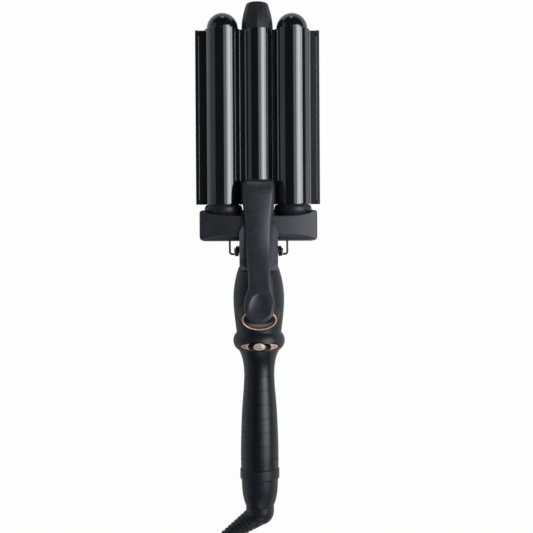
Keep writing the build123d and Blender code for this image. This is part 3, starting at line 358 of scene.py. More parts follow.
COLLAR_SATIN = SoftTouch("collar_satin", (0.0145, 0.0157, 0.0195), 0.4, "collar_plastic", edge=0.2)
DOME_GLOSS = PianoGloss("dome_gloss", (0.0045, 0.0045, 0.005), 0.13, "gloss_black", edge=0.3)
PIANO_BLACK = PianoGloss("piano_black", (0.006, 0.006, 0.007), 0.07, "gloss_black", edge=0.4)
LENS_TINT = PianoGloss("lens_tint", (0.013, 0.018, 0.017), 0.16, "lens", edge=0.2)
# Painted highlight: a lighter, almost non-metal copy of the rose-gold plating for the middle button, standing
# in for the reflection on its dome.
ROSE_PAINTED_HIGHLIGHT = Metal("rose_painted_highlight", (1.0, 0.79, 0.63), 0.28, "rose_gold", metallic=0.1)
MARK_DARK = SoftTouch("mark_dark", (0.02, 0.014, 0.012), 0.5, "gloss_black", edge=0.05, depth=0.01)
ROSE_PLATE = Metal("rose_plate", (1.0, 0.55, 0.41), 0.28, "rose_gold", metallic=0.15)
ROSE_RING = Metal("rose_ring", (1.0, 0.55, 0.36), 0.26, "rose_gold", edge=0.45, metallic=0.3)
BRIGHT_PIN = Metal("bright_pin", (0.7, 0.7, 0.71), 0.22, "steel", stretch=(0.05, 1.0, 1.0), edge=0.3)
BRUSHED_STEEL = Metal("brushed_steel", (0.5, 0.5, 0.51), 0.36, "steel", stretch=(0.04, 1.0, 1.0), edge=0.3)
DRAWN_ALUMINIUM = Metal("drawn_aluminium", (0.74, 0.74, 0.75), 0.32, "aluminium", stretch=(1.0, 0.03, 1.0))
TURNED_BRASS = Metal("turned_brass", (0.78, 0.58, 0.28), 0.24, "brass", stretch=(1.0, 0.1, 1.0))
SPRING_WIRE = SoftTouch("spring_wire", (0.003, 0.003, 0.0035), 0.24, "black_steel", edge=0.05, depth=0.004)
SCREW_BLACK = Metal("screw_black", (0.05, 0.05, 0.052), 0.34, "black_steel", edge=0.15)
CORD_SKIN = CordJacket("cord_skin", (0.014, 0.0145, 0.016), 0.42, "cord", edge=0.3)
CERAMIC_BODY = SoftTouch(
    "ceramic_body", (0.8, 0.76, 0.68), 0.6, "ceramic", grain=2600.0, depth=0.01, lift=0.08
)
COMPONENT_BODY = SoftTouch("component_body", (0.035, 0.036, 0.04), 0.5, "component", lift=0.4)
BOARD_GREEN = BoardResist("board_green", (0.02, 0.13, 0.05), 0.3, "board")


# ---- Pieces ----


def dress(frame: Frame, **finishes: Finish) -> None:
    """Dress carried-over nodes.

    Args:
        finishes: The nodes' finishes, by the nodes' names.
    """
    for name, finish in finishes.items():
        for slot in frame["nodes"][name].material_slots:
            slot.material = finish.material()
        log.info("%s dressed in %s", name, finish.name)


def put(name: str, data: bpy.types.ID) -> bpy.types.Object:
    """Return a new object, put into the scene."""
    thing = bpy.data.objects.new(name, data)
    bpy.context.scene.collection.objects.link(thing)
    return thing


def round_turn(count: int) -> Array:
    """Return angles spread evenly over one turn."""
    return np.linspace(0, math.tau, count, endpoint=False)


def ellipse(a: float, b: float, turns: Array) -> Array:
    """Return the plan points at angles on an ellipse with half axes a and b."""
    return np.stack([a * np.cos(turns), b * np.sin(turns)], 1)


def rounding(inside: Array | float, radius: float) -> Array:
    """Return how far a rounded edge of a radius falls at distances inside it."""
    short = np.clip(radius - inside, 0, radius)
    return radius - np.sqrt(np.maximum(radius**2 - short**2, 0))


def make_piece(
    name: str, points: Iterable[Sequence[float]], faces: Sequence[Sequence[int]], finish: Finish
) -> bpy.types.Object:
    """Make a smooth mesh piece.

    Args:
        name: The piece's name.
        points: Its points in millimetres.
        faces: Its faces by point number.
        finish: Its finish.

    Returns:
        The new object.
    """
    mesh = bpy.data.meshes.new(name)
    mesh.from_pydata([tuple(float(part) * MM for part in point) for point in points], [], faces)
    work = bmesh.new()
    work.from_mesh(mesh)
    bmesh.ops.remove_doubles(work, verts=work.verts, dist=1e-7)
    bmesh.ops.dissolve_degenerate(work, edges=work.edges, dist=1e-7)
    bmesh.ops.recalc_face_normals(work, faces=work.faces)
    for face in work.faces:
        face.smooth = True
    work.to_mesh(mesh)
    work.free()
    mesh.materials.append(finish.material())
    piece = put(name, mesh)
    log.info("%s made with %d faces", name, len(faces))
    return piece


def loft(rings: Sequence[Array]) -> tuple[Array, list[tuple[int, ...]]]:
    """Join closed rings of equal size into a skin with closed ends.

    Args:
        rings: Arrays of points, one ring each.

    Returns:
        The points and the faces.
    """
    size = len(rings[0])
    last = (len(rings) - 1) * size
    faces: list[tuple[int, ...]] = []
    for row in range(0, last, size):
        for step in range(size):
            start, end = row + step, row + (step + 1) % size
            faces.append((start, end, end + size, start + size))
    faces += [tuple(range(size)), tuple(range(last, last + size))]
    return np.concatenate(rings), faces


def smooth_line(points: Sequence[Sequence[float]], steps: int, ends: Sequence[Sequence[float]]) -> Array:
    """Return a smooth line through points.

    Args:
        points: The points that it passes through.
        steps: How many pieces each span is cut into.
        ends: The line's direction at its first and last point, as unit vectors.

    Returns:
        The points along the line.
    """
    given = np.array(points, float)
    chords = np.diff(given, axis=0)
    spans = np.linalg.norm(chords, axis=1)[:, None]
    ways = chords / spans
    slopes = (ways[:-1] * spans[1:] + ways[1:] * spans[:-1]) / (spans[:-1] + spans[1:])
    slopes = np.array([ends[0], *slopes, ends[1]])
    share = (np.arange(steps) / steps)[:, None]
    rise, leave, arrive = 3 * share**2 - 2 * share**3, share**3 - 2 * share**2 + share, share**3 - share**2
    line = []
    for start, chord, span, first, last in zip(given, chords, spans, slopes, slopes[1:]):
        line.append(start + rise * chord + span * (leave * first + arrive * last))
    return np.concatenate([*line, given[-1:]])


# ---- Studio ----


@dataclass(frozen=True)
class Softbox:
    """A rectangular studio light that shines towards the object."""

    name: str
    tilt: float
    distance: float
    width: float
    length: float
    power: float
    colour: Colour
    along: float = 0.1
    lean: float = 0.0

    def build(self) -> None:
        """Hang the light, tilted in degrees from straight above towards +X and leant towards -Y."""
        data = bpy.data.lights.new(self.name, "AREA")
        data.shape = "RECTANGLE"
        data.size, data.size_y = self.width, self.length
        data.energy = self.power
        data.color = self.colour
        lean = Matrix.Rotation(math.radians(self.lean), 4, "X")
        tilt = Matrix.Rotation(math.radians(self.tilt), 4, "Y")
        foot, arm = Matrix.Translation((0, self.along, 0)), Matrix.Translation((0, 0, self.distance))
        put(self.name, data).matrix_world = foot @ lean @ tilt @ arm


@dataclass(frozen=True)
class Studio:
    """Camera, lights, floor and surroundings."""

    target: Point = (6.37, -33.08, 17.5)
    distance: float = 684.15
    lens: float = 57.5
    pitch: float = -0.597
    yaw: float = -1.141
    roll: float = -0.346
    clip: Pair = (0.01, 50.0)
    floor_half: float = 6.0
    floor_z: float = -0.0002
    floor_colour: Colour = (0.86, 0.86, 0.86)
    glow_share: float = 0.98
    gloss_share: float = 0.22
    room_colour: Colour = (0.84, 0.91, 1.0)
    room_light: float = 0.045
    low_light: float = 0.28
    low_heights: Pair = (-0.05, 0.22)
    boxes: tuple[Softbox, ...] = (
        Softbox("broad_key", 35.0, 1.6, 1.75, 1.23, 6.8, (0.88, 0.935, 1.0), along=0.065),
        Softbox("outer_key", 44.0, 1.6, 1.16, 1.23, 10.6, (0.89, 0.94, 1.0), along=0.065),
        Softbox("core_key", 41.0, 1.55, 0.38, 1.23, 2.9, (0.92, 0.955, 1.0), along=0.065),
        Softbox("left_fill", -72.0, 1.7, 1.5, 2.4, 3.6, (0.66, 0.80, 1.0)),
        Softbox("tail_box", 8.0, 1.6, 1.0, 0.36, 1.5, (0.92, 1.0, 0.98), lean=63.0),
        Softbox("head_box", -1.0, 1.2, 0.30, 0.25, 0.45, (0.90, 0.94, 1.0), lean=-81.0),
    )

    def camera(self) -> None:
        """Set the camera that looks down on the waver."""
        data = bpy.data.cameras.new("camera")
        data.lens = self.lens
        data.sensor_width = 36.0
        data.clip_start, data.clip_end = self.clip
        pose = Matrix.Translation([part * MM for part in self.target])
        for angle, axis in ((self.yaw, "Y"), (self.pitch, "X"), (self.roll, "Z")):
            pose = pose @ Matrix.Rotation(math.radians(angle), 4, axis)
        camera = put("camera", data)
        camera.matrix_world = pose @ Matrix.Translation((0, 0, self.distance * MM))
        bpy.context.scene.camera = camera
        bpy.context.scene.view_settings.view_transform = "Standard"

    def seen(self, graph: Graph) -> Value:
        """Return 1 for rays that show the white ground: from the camera, a gloss or a glass."""
        return graph.ray("Camera") + graph.ray("Glossy") * self.gloss_share + graph.ray("Transmission")

    def floor(self) -> None:
        """Lay the white floor, which keeps the waver's soft shadow."""
        half = self.floor_half
        mesh = bpy.data.meshes.new("floor")
        corners = [(-half, -half, 0), (half, -half, 0), (half, half, 0), (-half, half, 0)]
        mesh.from_pydata(corners, [], [(0, 1, 2, 3)])
        floor = put("floor", mesh)
        floor.location.z = self.floor_z
        material = bpy.data.materials.new("white_floor")
        graph = Graph(material)
        paper = graph.node("BsdfDiffuse", {"Color": (*self.floor_colour, 1.0)})
        glow = graph.node("Emission", WHITE)
        share = self.seen(graph) * self.glow_share
        both = graph.node("MixShader", {0: share, 1: paper, 2: glow})
        graph.node("OutputMaterial", {"Surface": both})
        mesh.materials.append(material)

    def surroundings(self) -> None:
        """Make the room: white behind the object, dim above it."""
        world = bpy.data.worlds.new("room")
        bpy.context.scene.world = world
        graph = Graph(world)
        way = graph.node("TexCoord", {}, output="Generated")
        height = graph.node("SeparateXYZ", {0: way}, output="Z")
        low = 1.0 - height.eased(*self.low_heights)
        plain = (graph.ray("Camera") + graph.ray("Transmission")).eased(0.0, 1.0)
        light = {"Color": (*self.room_colour, 1.0), "Strength": self.room_light + low * self.low_light}
        room = graph.node("Background", light)
        white = graph.node("Background", WHITE)
        both = graph.node("MixShader", {0: plain, 1: room, 2: white})
        graph.node("OutputWorld", {"Surface": both})

    def build(self) -> None:
        """Set up everything that isn't part of the object."""
        self.camera()
        self.surroundings()
        self.floor()
        for box in self.boxes:
            box.build()
        log.info("studio: camera, floor, room and %d lights", len(self.boxes))


# ---- Cord ----


class Turn(Enum):
    """The part of the coil that a stretch of cord lies in."""

    LOWER = "lower layer, winding inwards"
    CLIMB = "step up to the upper layer"
    UPPER_START = "first turn of the upper layer"
    UPPER = "upper layer, winding outwards"


@dataclass(frozen=True)
class MainsCord:
    """The free cord, from the strain relief through its stored coil to the plug."""

    diameter: float = 6.5
    length: float = 1.72
    points_per_turn: int = 16
    curve_steps: int = 8
    bevel_steps: int = 6
    coil_centre: Pair = (-49.75, -340.0)
    start_angle: float = 180.0
    outer_r: float = 48.75
    inner_r: float = 29.25
    low_z: float = 3.3
    high_z: float = 9.8
    run: tuple[Point, ...] = (
        (-34.61, -254.49, 20.6),
        (-54.4, -268.1, 19.3),
        (-73.0, -283.5, 14.2),
        (-88.0, -301.5, 8.0),
        (-96.6, -321.0, 4.0),
    )
    exit: Point = (-14.7, -375.0, 9.8)
    exit_r: float = 49.56
    tail: tuple[Point, ...] = ((-0.4, -360.6, 9.2), (12.6, -343.7, 8.1), (21.6, -324.9, 7.55))

    def stretches(self) -> tuple[tuple[Turn, float, float, float], ...]:
        """Return each stretch of the coil with its turns, and its radius at its start and end."""
        step_r = self.inner_r - self.diameter / 4
        return (
            (Turn.LOWER, 3.0, self.outer_r, self.inner_r),
            (Turn.CLIMB, 0.25, self.inner_r, step_r),
            (Turn.UPPER_START, 0.75, step_r, step_r + self.diameter),
            (Turn.UPPER, 2.375, step_r + self.diameter, self.exit_r),
        )

    def coil(self) -> list[Point]:
        """Return the coil's control points, in millimetres."""
        grown = 1.0 / math.cos(math.pi / self.points_per_turn)
        points: list[Point] = []
        angle = math.radians(self.start_angle)
        for part, turns, start_r, end_r in self.stretches():
            count = round(turns * self.points_per_turn)
            for index in range(count):
                share = index / count
                radius = (start_r + (end_r - start_r) * share) * grown
                climbed = {Turn.LOWER: 0.0, Turn.CLIMB: share}.get(part, 1.0)
                x = self.coil_centre[0] + radius * math.cos(angle)
                y = self.coil_centre[1] + radius * math.sin(angle)
                points.append((x, y, self.low_z + (self.high_z - self.low_z) * climbed))
                angle += math.tau / self.points_per_turn
        points.append(self.exit)
        return points

    def build(self, frame: Frame, with_pieces: Sequence[Any]) -> None:
        """Args:
            with_pieces: The pieces on the cord; this argument is not used.
        """
        route = [*self.run, *self.coil(), *self.tail]
        data = bpy.data.curves.new("mains_cord", "CURVE")
        data.dimensions = "3D"
        data.resolution_u = self.curve_steps
        data.bevel_depth = self.diameter / 2 * MM
        data.bevel_resolution = self.bevel_steps
        data.use_fill_caps = True
        spline = data.splines.new("NURBS")
        spline.points.add(len(route) - 1)
        for point, place in zip(spline.points, route):
            point.co = (*[part * MM for part in place], 1.0)
        spline.order_u = 3
        spline.use_endpoint_u = True
        cord = put("mains_cord", data)
        data.materials.append(CORD_SKIN.material())
        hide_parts("cord_tube", "cord_coil", "cord_tail")
        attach(cord, "cord_swivel")
        dress(frame, strain_relief=CORD_SKIN, swivel_elbow=BLACK_SHELL)
        log.info("mains cord: %d control points", len(route))


@dataclass(frozen=True)
class MainsPlug:
    """The moulded two-blade plug at the cord's far end."""

    origin: Point = (21.6, -324.9, 7.55)
    heading: float = 64.4
    neck_length: float = 12.0
    body_length: float = 34.0
    half_width: float = 12.0
    half_height: float = 7.5
    neck_r: float = 4.5
    groove_depth: float = 0.55
    groove_pitch: float = 4.0
    shoulder_length: float = 12.0
    squareness: float = 1.6
    edge_r: float = 1.2
    ribs_start: float = 13.0
    rib_pitch: float = 3.2
    rib_depth: float = 0.7
    ribs: int = 4
    sides: int = 48
    first_station: float = 0.4
    rows: int = 92
    end_steps: tuple[float, ...] = (0.7, 0.3, 0.0)

    def section(self, along: float) -> tuple[float, float, float]:
        """Return half width, half height and squareness at a distance from the cord.

        Args:
            along: The distance in millimetres.

        Returns:
            The three numbers, squareness being the exponent of a superellipse.
        """
        if along < self.neck_length:
            groove = self.groove_depth if along % self.groove_pitch > self.groove_pitch / 2 else 0.0
            return self.neck_r - groove, self.neck_r - groove, 2.0
        ease = math.sin(min(1.0, (along - self.neck_length) / self.shoulder_length) * math.pi / 2)
        inset = float(rounding(self.neck_length + self.body_length - along, self.edge_r))
        wide = self.neck_r + (self.half_width - self.neck_r) * ease - inset
        high = self.neck_r + (self.half_height - self.neck_r) * ease - inset
        place = (along - self.neck_length - self.ribs_start) / self.rib_pitch
        if 0.0 < place < self.ribs:
            dip = self.rib_depth * max(0.0, math.cos((place % 1.0 - 0.5) * math.tau)) ** 2
            wide, high = wide - dip, high - dip / 2
        return wide, high, 2.0 + self.squareness * ease

    def build(self, frame: Frame) -> Any:
        """Build the plug's body on the cord's end.


        Returns:
            The plug's body.
        """
        angle = math.radians(self.heading)
        way = np.array((math.cos(angle), math.sin(angle), 0.0))
        side = np.array((-math.sin(angle), math.cos(angle), 0.0))
        up = np.array((0.0, 0.0, 1.0))
        whole = self.neck_length + self.body_length
        stations = [0.0, *np.linspace(self.first_station, whole - self.edge_r, self.rows)]
        stations += [whole - back for back in self.end_steps]
        turns = round_turn(self.sides)
        c, s = np.cos(turns)[:, None], np.sin(turns)[:, None]
        rings = []
        for along in stations:
            wide, high, power = self.section(float(along))
            across = wide * np.copysign(np.abs(c) ** (2 / power), c)
            rise = high * np.copysign(np.abs(s) ** (2 / power), s)
            rings.append(np.array(self.origin) + way * along + side * across + up * rise)
        plug = make_piece("plug_moulding", *loft(rings), CORD_SKIN)
        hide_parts("plug_body")
        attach(plug, "cord_swivel")
        dress(frame, plug_blades=TURNED_BRASS)
        return plug


# ---- Lever ----


@dataclass(frozen=True)
class Lever:
    """The clamp lever's outer shell, crowned, with rounded rims and a thumb dish."""

    front_y: float = 35.8
    tail_y: float = -74.9
    shoulder_y: float = 33.0
    barrel_z: float = 17.5
    saddle_r: float = 12.6
    outline: Table = (
        (12.5, 22.0), (11.0, -1.0), (10.6, -14.0), (8.8, -36.0), (8.3, -47.0), (11.6, -62.5), (9.4, -70.5)
    )
    top_line: Table = (
        (35.8, 33.5), (29.0, 38.6), (14.0, 41.2), (-20.7, 44.6), (-37.0, 50.0), (-60.0, 61.5), (-74.9, 66.0)
    )
    under_line: Table = (
        (35.8, 24.0), (16.4, 24.0), (12.3, 37.0), (4.5, 37.0), (1.3, 39.0),
        (-26.5, 39.0), (-37.0, 44.6), (-60.0, 56.2), (-74.9, 61.6),
    )
    kinks: tuple[float, ...] = (16.4, 12.31, 12.29, 4.5, 1.3, -26.5)
    saddle_y: float = 12.3
    waist_y: float = -48.0
    top_ends: tuple[Pair, Pair] = ((-0.8, 0.6), (-0.957, 0.289))
    rim_r: Table = ((-80.0, 2.2), (-55.0, 2.4), (-45.0, 3.0), (-10.0, 3.6), (40.0, 3.4))
    crown: Table = ((-80.0, 0.2), (-55.0, 0.6), (-40.0, 2.2), (0.0, 2.6), (20.0, 1.4), (40.0, 0.8))
    front_r: float = 3.4
    tail_r: float = 3.0
    thinnest: float = 0.02
    under_r: float = 1.0
    dish_centre_y: float = -62.6
    dish_half_length: float = 9.7
    dish_half_width: float = 7.9
    dish_taper: float = 0.16
    dish_depth: float = 2.0
    dish_power: float = 0.9
    across: int = 72
    wall_steps: int = 6
    end_rows: int = 12
    saddle_rows: int = 16
    body_rows: int = 44
    paddle_rows: int = 66
    corner_steps: int = 13
    shoulder_steps: int = 12
    front_steps: int = 8
    side_steps: int = 24
    top_steps: int = 16

    def rim(self) -> Array:
        """Return the right half of the outline, from the front's middle to the tail."""
        corner = self.front_y - self.shoulder_y
        half = self.outline[0][0]
        turns = np.linspace(0, math.pi / 2, self.corner_steps)
        arc = (half - corner, self.shoulder_y) + corner * np.stack([np.sin(turns), np.cos(turns)], 1)
        straight = np.linspace(self.shoulder_y, self.outline[0][1], self.shoulder_steps)[1:-1]
        side = smooth_line((*self.outline, (0.0, self.tail_y)), self.side_steps, ((0.0, -1.0), (-1.0, 0.0)))
        front = [(x, self.front_y) for x in np.linspace(0, half - corner, self.front_steps)[:-1]]
        return np.array([*front, *arc, *((half, y) for y in straight), *side])

    def inset(self, points: Array, rim: Array) -> Array:
        """Return how far inside the outline points lie.

        Args:
            points: Plan points, with x taken as positive.
            rim: The outline's right half.

        Returns:
            The distances in millimetres.
        """
        start, end = rim[:-1], rim[1:]
        way = end - start
        length = np.maximum((way**2).sum(1), 1e-12)
        share = ((points[:, None] - start) * way).sum(2) / length
        nearest = start + np.clip(share, 0, 1)[..., None] * way
        return np.sqrt(((points[:, None] - nearest) ** 2).sum(2)).min(1)

    def profile(self, line: Table, y: float) -> float:
        """Return a line's value at a station, straight between its points."""
        stations, values = zip(*sorted(line))
        return float(np.interp(y, stations, values))

    def dish(self, x: Array, y: float) -> Array:
        """Return the depth of the thumb dish at points across a station."""
        along = (y - self.dish_centre_y) / self.dish_half_length
        wide = self.dish_half_width * (1.0 - self.dish_taper * along)
        inside = 1.0 - (x / wide) ** 2 - along**2
        return self.dish_depth * np.clip(inside, 0, 1) ** self.dish_power

    def ring(self, y: float, rim: Array, top: Array) -> Array:
        """Return the closed section at a station.

        Args:
            y: The station.
            rim: The outline's right half.
            top: The smooth top line as stations and heights.

        Returns:
            The section's points.
        """
        half = max(float(np.interp(-y, -rim[:, 1], rim[:, 0])), self.thinnest)
        x = half * np.sin(np.linspace(-math.pi / 2, math.pi / 2, self.across))
        inside = self.inset(np.stack([np.abs(x), np.full_like(x, y)], 1), rim)
        upper = float(np.interp(-y, -top[:, 0], top[:, 1])) - rounding(inside, self.profile(self.rim_r, y))
        upper = upper - self.profile(self.crown, y) * (x / self.outline[0][0]) ** 2 - self.dish(x, y)
        lower = self.profile(self.under_line, y) + rounding(inside, self.under_r) * (y < self.saddle_y)
        if y > self.saddle_y:
            lower = np.maximum(lower, self.barrel_z + np.sqrt(np.maximum(self.saddle_r**2 - x**2, 0)))
        lower = np.minimum(lower, upper - self.thinnest)
        wall = np.linspace(0, 1, self.wall_steps)[1:-1]
        right, left = upper[-1] + (lower[-1] - upper[-1]) * wall, lower[0] + (upper[0] - lower[0]) * wall
        z = np.concatenate([upper, right, lower[::-1], left])
        x = np.concatenate([x, np.full_like(wall, x[-1]), x[::-1], np.full_like(wall, x[0])])
        return np.stack([x, np.full_like(x, y), z], 1)

    def build(self, frame: Frame) -> None:
        """Build the lever and dress the pieces inside it."""
        rim = self.rim()
        top = smooth_line(self.top_line, self.top_steps, self.top_ends)
        bend = 1 - np.cos(np.linspace(0, math.pi / 2, self.end_rows))
        front, tail = self.front_y - self.front_r, self.tail_y + self.tail_r
        stations = np.concatenate(
            [
                self.front_y - self.front_r * bend,
                np.linspace(front, self.saddle_y + 0.1, self.saddle_rows)[1:-1],
                self.kinks,
                np.linspace(self.saddle_y - 0.1, self.waist_y, self.body_rows),
                np.linspace(self.waist_y, tail, self.paddle_rows)[1:],
                self.tail_y + self.tail_r * bend[::-1][1:],
            ]
        )
        stations = np.array(sorted(set(stations.round(4)), reverse=True))
        rings = [self.ring(float(y), rim, top) for y in stations]
        lever = make_piece("lever_body", *loft(rings), LEVER_SKIN)
        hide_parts("lever_shell")
        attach(lever, "clamp")
        dress(frame, lever_under_cover=BLACK_SHELL, hinge_bush=TURNED_BRASS, lever_screws=SCREW_BLACK)


# ---- Head ----


def strand(name: str, line: Array, radius: float, finish: Finish, sides: int = 12) -> Any:
    """Make a thin round strand along a line.

    Args:
        name: The piece's name.
        line: The points that it follows, in millimetres.
        radius: Its radius.
        finish: Its finish.
        sides: How many sides its section has.

    Returns:
        The new object.
    """
    way = np.gradient(line, axis=0)
    way /= np.linalg.norm(way, axis=1)[:, None]
    turns = round_turn(sides)
    rings = []
    for point, forward in zip(line, way):
        across = np.cross((0.0, 0.0, 1.0), forward)
        across /= np.linalg.norm(across)
        over = np.cross(forward, across)
        rings.append(point + ellipse(radius, radius, turns) @ np.array([across, over]))
    return make_piece(name, *loft(rings), finish)


@dataclass(frozen=True)
class BarCover:
    """The base bar's front cover: a bow-tie panel between two bevels, with a seam round it."""

    half_width: float = 46.5
    half_depth: float = 12.3
    corner_r: float = 2.6
    split_z: float = 17.6
    end_z: float = 30.3
    middle_z: float = 36.0
    panel_high: float = 6.9
    panel_low: float = -8.3
    panel_flare: float = 5.4
    flare_power: float = 5.0
    seam_depth: float = 0.7
    seam_half: float = 0.35
    shelf_z: float = 20.5
    shelf_power: float = 0.16
    bevel_z: float = 28.4
    step_drop: float = 1.9
    step_width: float = 0.8
    edge_r: float = 1.3
    land: float = 0.6
    low_flare: float = 0.8
    bevel_power: float = 0.6
    seam_reach: float = 1.3
    edge_step: float = 0.12
    end_share: float = 0.9999
    columns: int = 220
    spare_columns: int = 40
    rows: int = 40
    seam_rows: int = 15
    edge_rows: int = 10

    def depth(self, x: float) -> float:
        """Return the half depth at a station across, less where the corners are round."""
        over = max(0.0, abs(x) - (self.half_width - self.corner_r))
        return self.half_depth - self.corner_r + math.sqrt(max(0.0, self.corner_r**2 - over**2))

    def section(self, x: float) -> Array:
        """Return the closed section at a station across.

        Args:
            x: The station in millimetres.

        Returns:
            The section's points.
        """
        half = self.depth(x)
        flare = self.panel_flare * (abs(x) / self.half_width) ** self.flare_power
        high = min(self.panel_high + flare, half - self.land)
        low = max(self.panel_low - flare * self.low_flare, -half + self.land)
        near = np.linspace(-self.seam_reach, self.seam_reach, self.seam_rows)
        edge = half - self.edge_step * np.arange(self.edge_rows)
        y = np.concatenate([np.linspace(-half, half, self.rows), low + near, high + near, edge, -edge])
        y = np.sort(y.clip(-half, half))
        face = self.middle_z - (self.middle_z - self.end_z) * (x / self.half_width) ** 2
        upper = np.clip((y - high) / (self.half_depth - high), 0, 1)
        lower = np.clip((low - y) / (self.half_depth + low), 0, 1)
        step = np.clip((low - y) / self.step_width, 0, 1)
        bevel = max(face - self.step_drop - self.bevel_z, 0.0) * lower**self.bevel_power
        z = face + (self.shelf_z - face) * upper**self.shelf_power - self.step_drop * step - bevel
        for line in (low, high):
            z = z - self.seam_depth * np.exp(-(((y - line) / self.seam_half) ** 2))
        z = z - rounding(half - np.abs(y), self.edge_r) - rounding(self.half_width - abs(x), self.edge_r)
        top = np.stack([np.full_like(y, x), y, z], 1)
        floor = np.array([(x, half, self.split_z), (x, -half, self.split_z)])
        return np.concatenate([top, floor])

    def build(self) -> None:
        """Build the cover on the head."""
        bend = np.sin(np.linspace(-math.pi / 2, math.pi / 2, self.columns))
        middle = np.linspace(-1, 1, self.columns)[self.spare_columns : -self.spare_columns]
        stations = self.half_width * np.sort(np.concatenate([bend * self.end_share, middle]))
        cover = make_piece("bar_face", *loft([self.section(float(x)) for x in stations]), BLACK_BAR)
        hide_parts("bar_front_cover")
        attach(cover, "head")


@dataclass(frozen=True)
class Head:
    """Base bar, barrels, domes and collars."""

    cover: BarCover = BarCover()
    barrel_x: float = 27.8
    barrel_z: float = 17.5
    collar_radii: tuple[float, ...] = (12.62, 15.1, 15.1, 14.95, 14.25, 13.95, 12.9, 12.62)
    collar_stations: tuple[float, ...] = (7.2, 7.2, 13.9, 14.25, 15.9, 16.2, 16.3, 16.15)
    collar_sides: int = 96

    def collar(self, side: str, sign: int) -> None:
        """Build a collar, which reaches over the bar's shelf.

        Args:
            side: The side's name.
            sign: -1 for the left and 1 for the right.
        """
        radii, stations = np.array(self.collar_radii), np.array(self.collar_stations)
        rings = []
        for turn in round_turn(self.collar_sides):
            x, z = sign * self.barrel_x + radii * math.cos(turn), self.barrel_z + radii * math.sin(turn)
            rings.append(np.stack([x, stations, z], 1))
        points, faces = loft([*rings, rings[0]])
        collar = make_piece(f"{side}_collar_ring", points, faces[:-2], COLLAR_SATIN)
        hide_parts(f"{side}_collar")
        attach(collar, "head")

    def build(self, frame: Frame) -> None:
        """Build the bar's cover and the collars, and dress the head's pieces."""
        self.cover.build()
        dress(frame, bar_rear_cover=BLACK_BAR, bar_screws=SCREW_BLACK, barrel_carrier=BRUSHED_STEEL)
        inside = {"heat_spreader": DRAWN_ALUMINIUM, "heater_strip": CERAMIC_BODY}
        for side, sign in SIDES:
            self.collar(side, sign)
            for part, finish in {"barrel": BARREL_COAT, "dome_cap": DOME_GLOSS, **inside}.items():
                dress(frame, **{f"{side}_{part}": finish})
        dress(frame, thermostats=COMPONENT_BODY)


@dataclass(frozen=True)
class Press:
    """The moving press with its centre tube and wings, the beads on its lips, and the cool tip."""

    lip_x: float = 47.0
    lip_z: float = 19.6
    bead_r: float = 0.42
    start_y: float = 16.9
    end_y: float = 155.4
    rows: int = 30

    def build(self, frame: Frame) -> None:
        """Lay the beads and dress the press."""
        for side, sign in SIDES:
            y = np.linspace(self.start_y, self.end_y, self.rows)
            line = np.stack([np.full_like(y, sign * self.lip_x), y, np.full_like(y, self.lip_z)], 1)
            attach(strand(f"{side}_lip_bead", line, self.bead_r, BARREL_COAT), "clamp")
        dress(frame, press_extrusion=BARREL_COAT, cool_tip=TIP_SKIN)
        dress(frame, centre_heat_spreader=DRAWN_ALUMINIUM, centre_heater_strip=CERAMIC_BODY)


@dataclass(frozen=True)
class Hinge:
    """Neck fork, hinge pin and torsion springs."""

    wire_growth: float = 0.22

    def build(self, frame: Frame) -> None:
        """Thicken the springs' coated wire and dress the hinge."""
        for name in ("left_spring", "right_spring"):
            coat = frame["nodes"][name].modifiers.new("coat", "DISPLACE")
            coat.direction = "NORMAL"
            coat.mid_level = 0.0
            coat.strength = self.wire_growth * MM
        # The neck fork wears the lightened copy of the handle plastic, painted light against the lever's
        # shadow.
        dress(frame, neck_fork=NECK_PAINTED_LIGHT, hinge_pin=BRIGHT_PIN)
        dress(frame, left_spring=SPRING_WIRE, right_spring=SPRING_WIRE)


@dataclass(frozen=True)
class Handle:
    """Handle shells, grip, ring and end cap."""

    def build(self, frame: Frame) -> None:
        """Dress the handle."""
        dress(frame, handle_front_shell=BLACK_SHELL, handle_rear_shell=BLACK_SHELL)
        dress(frame, end_ring=BLACK_SHELL, end_cap=BLACK_SHELL, grip_sleeve=GRIP_SKIN)
        dress(frame, handle_screws=SCREW_BLACK, contact_block=COMPONENT_BODY)


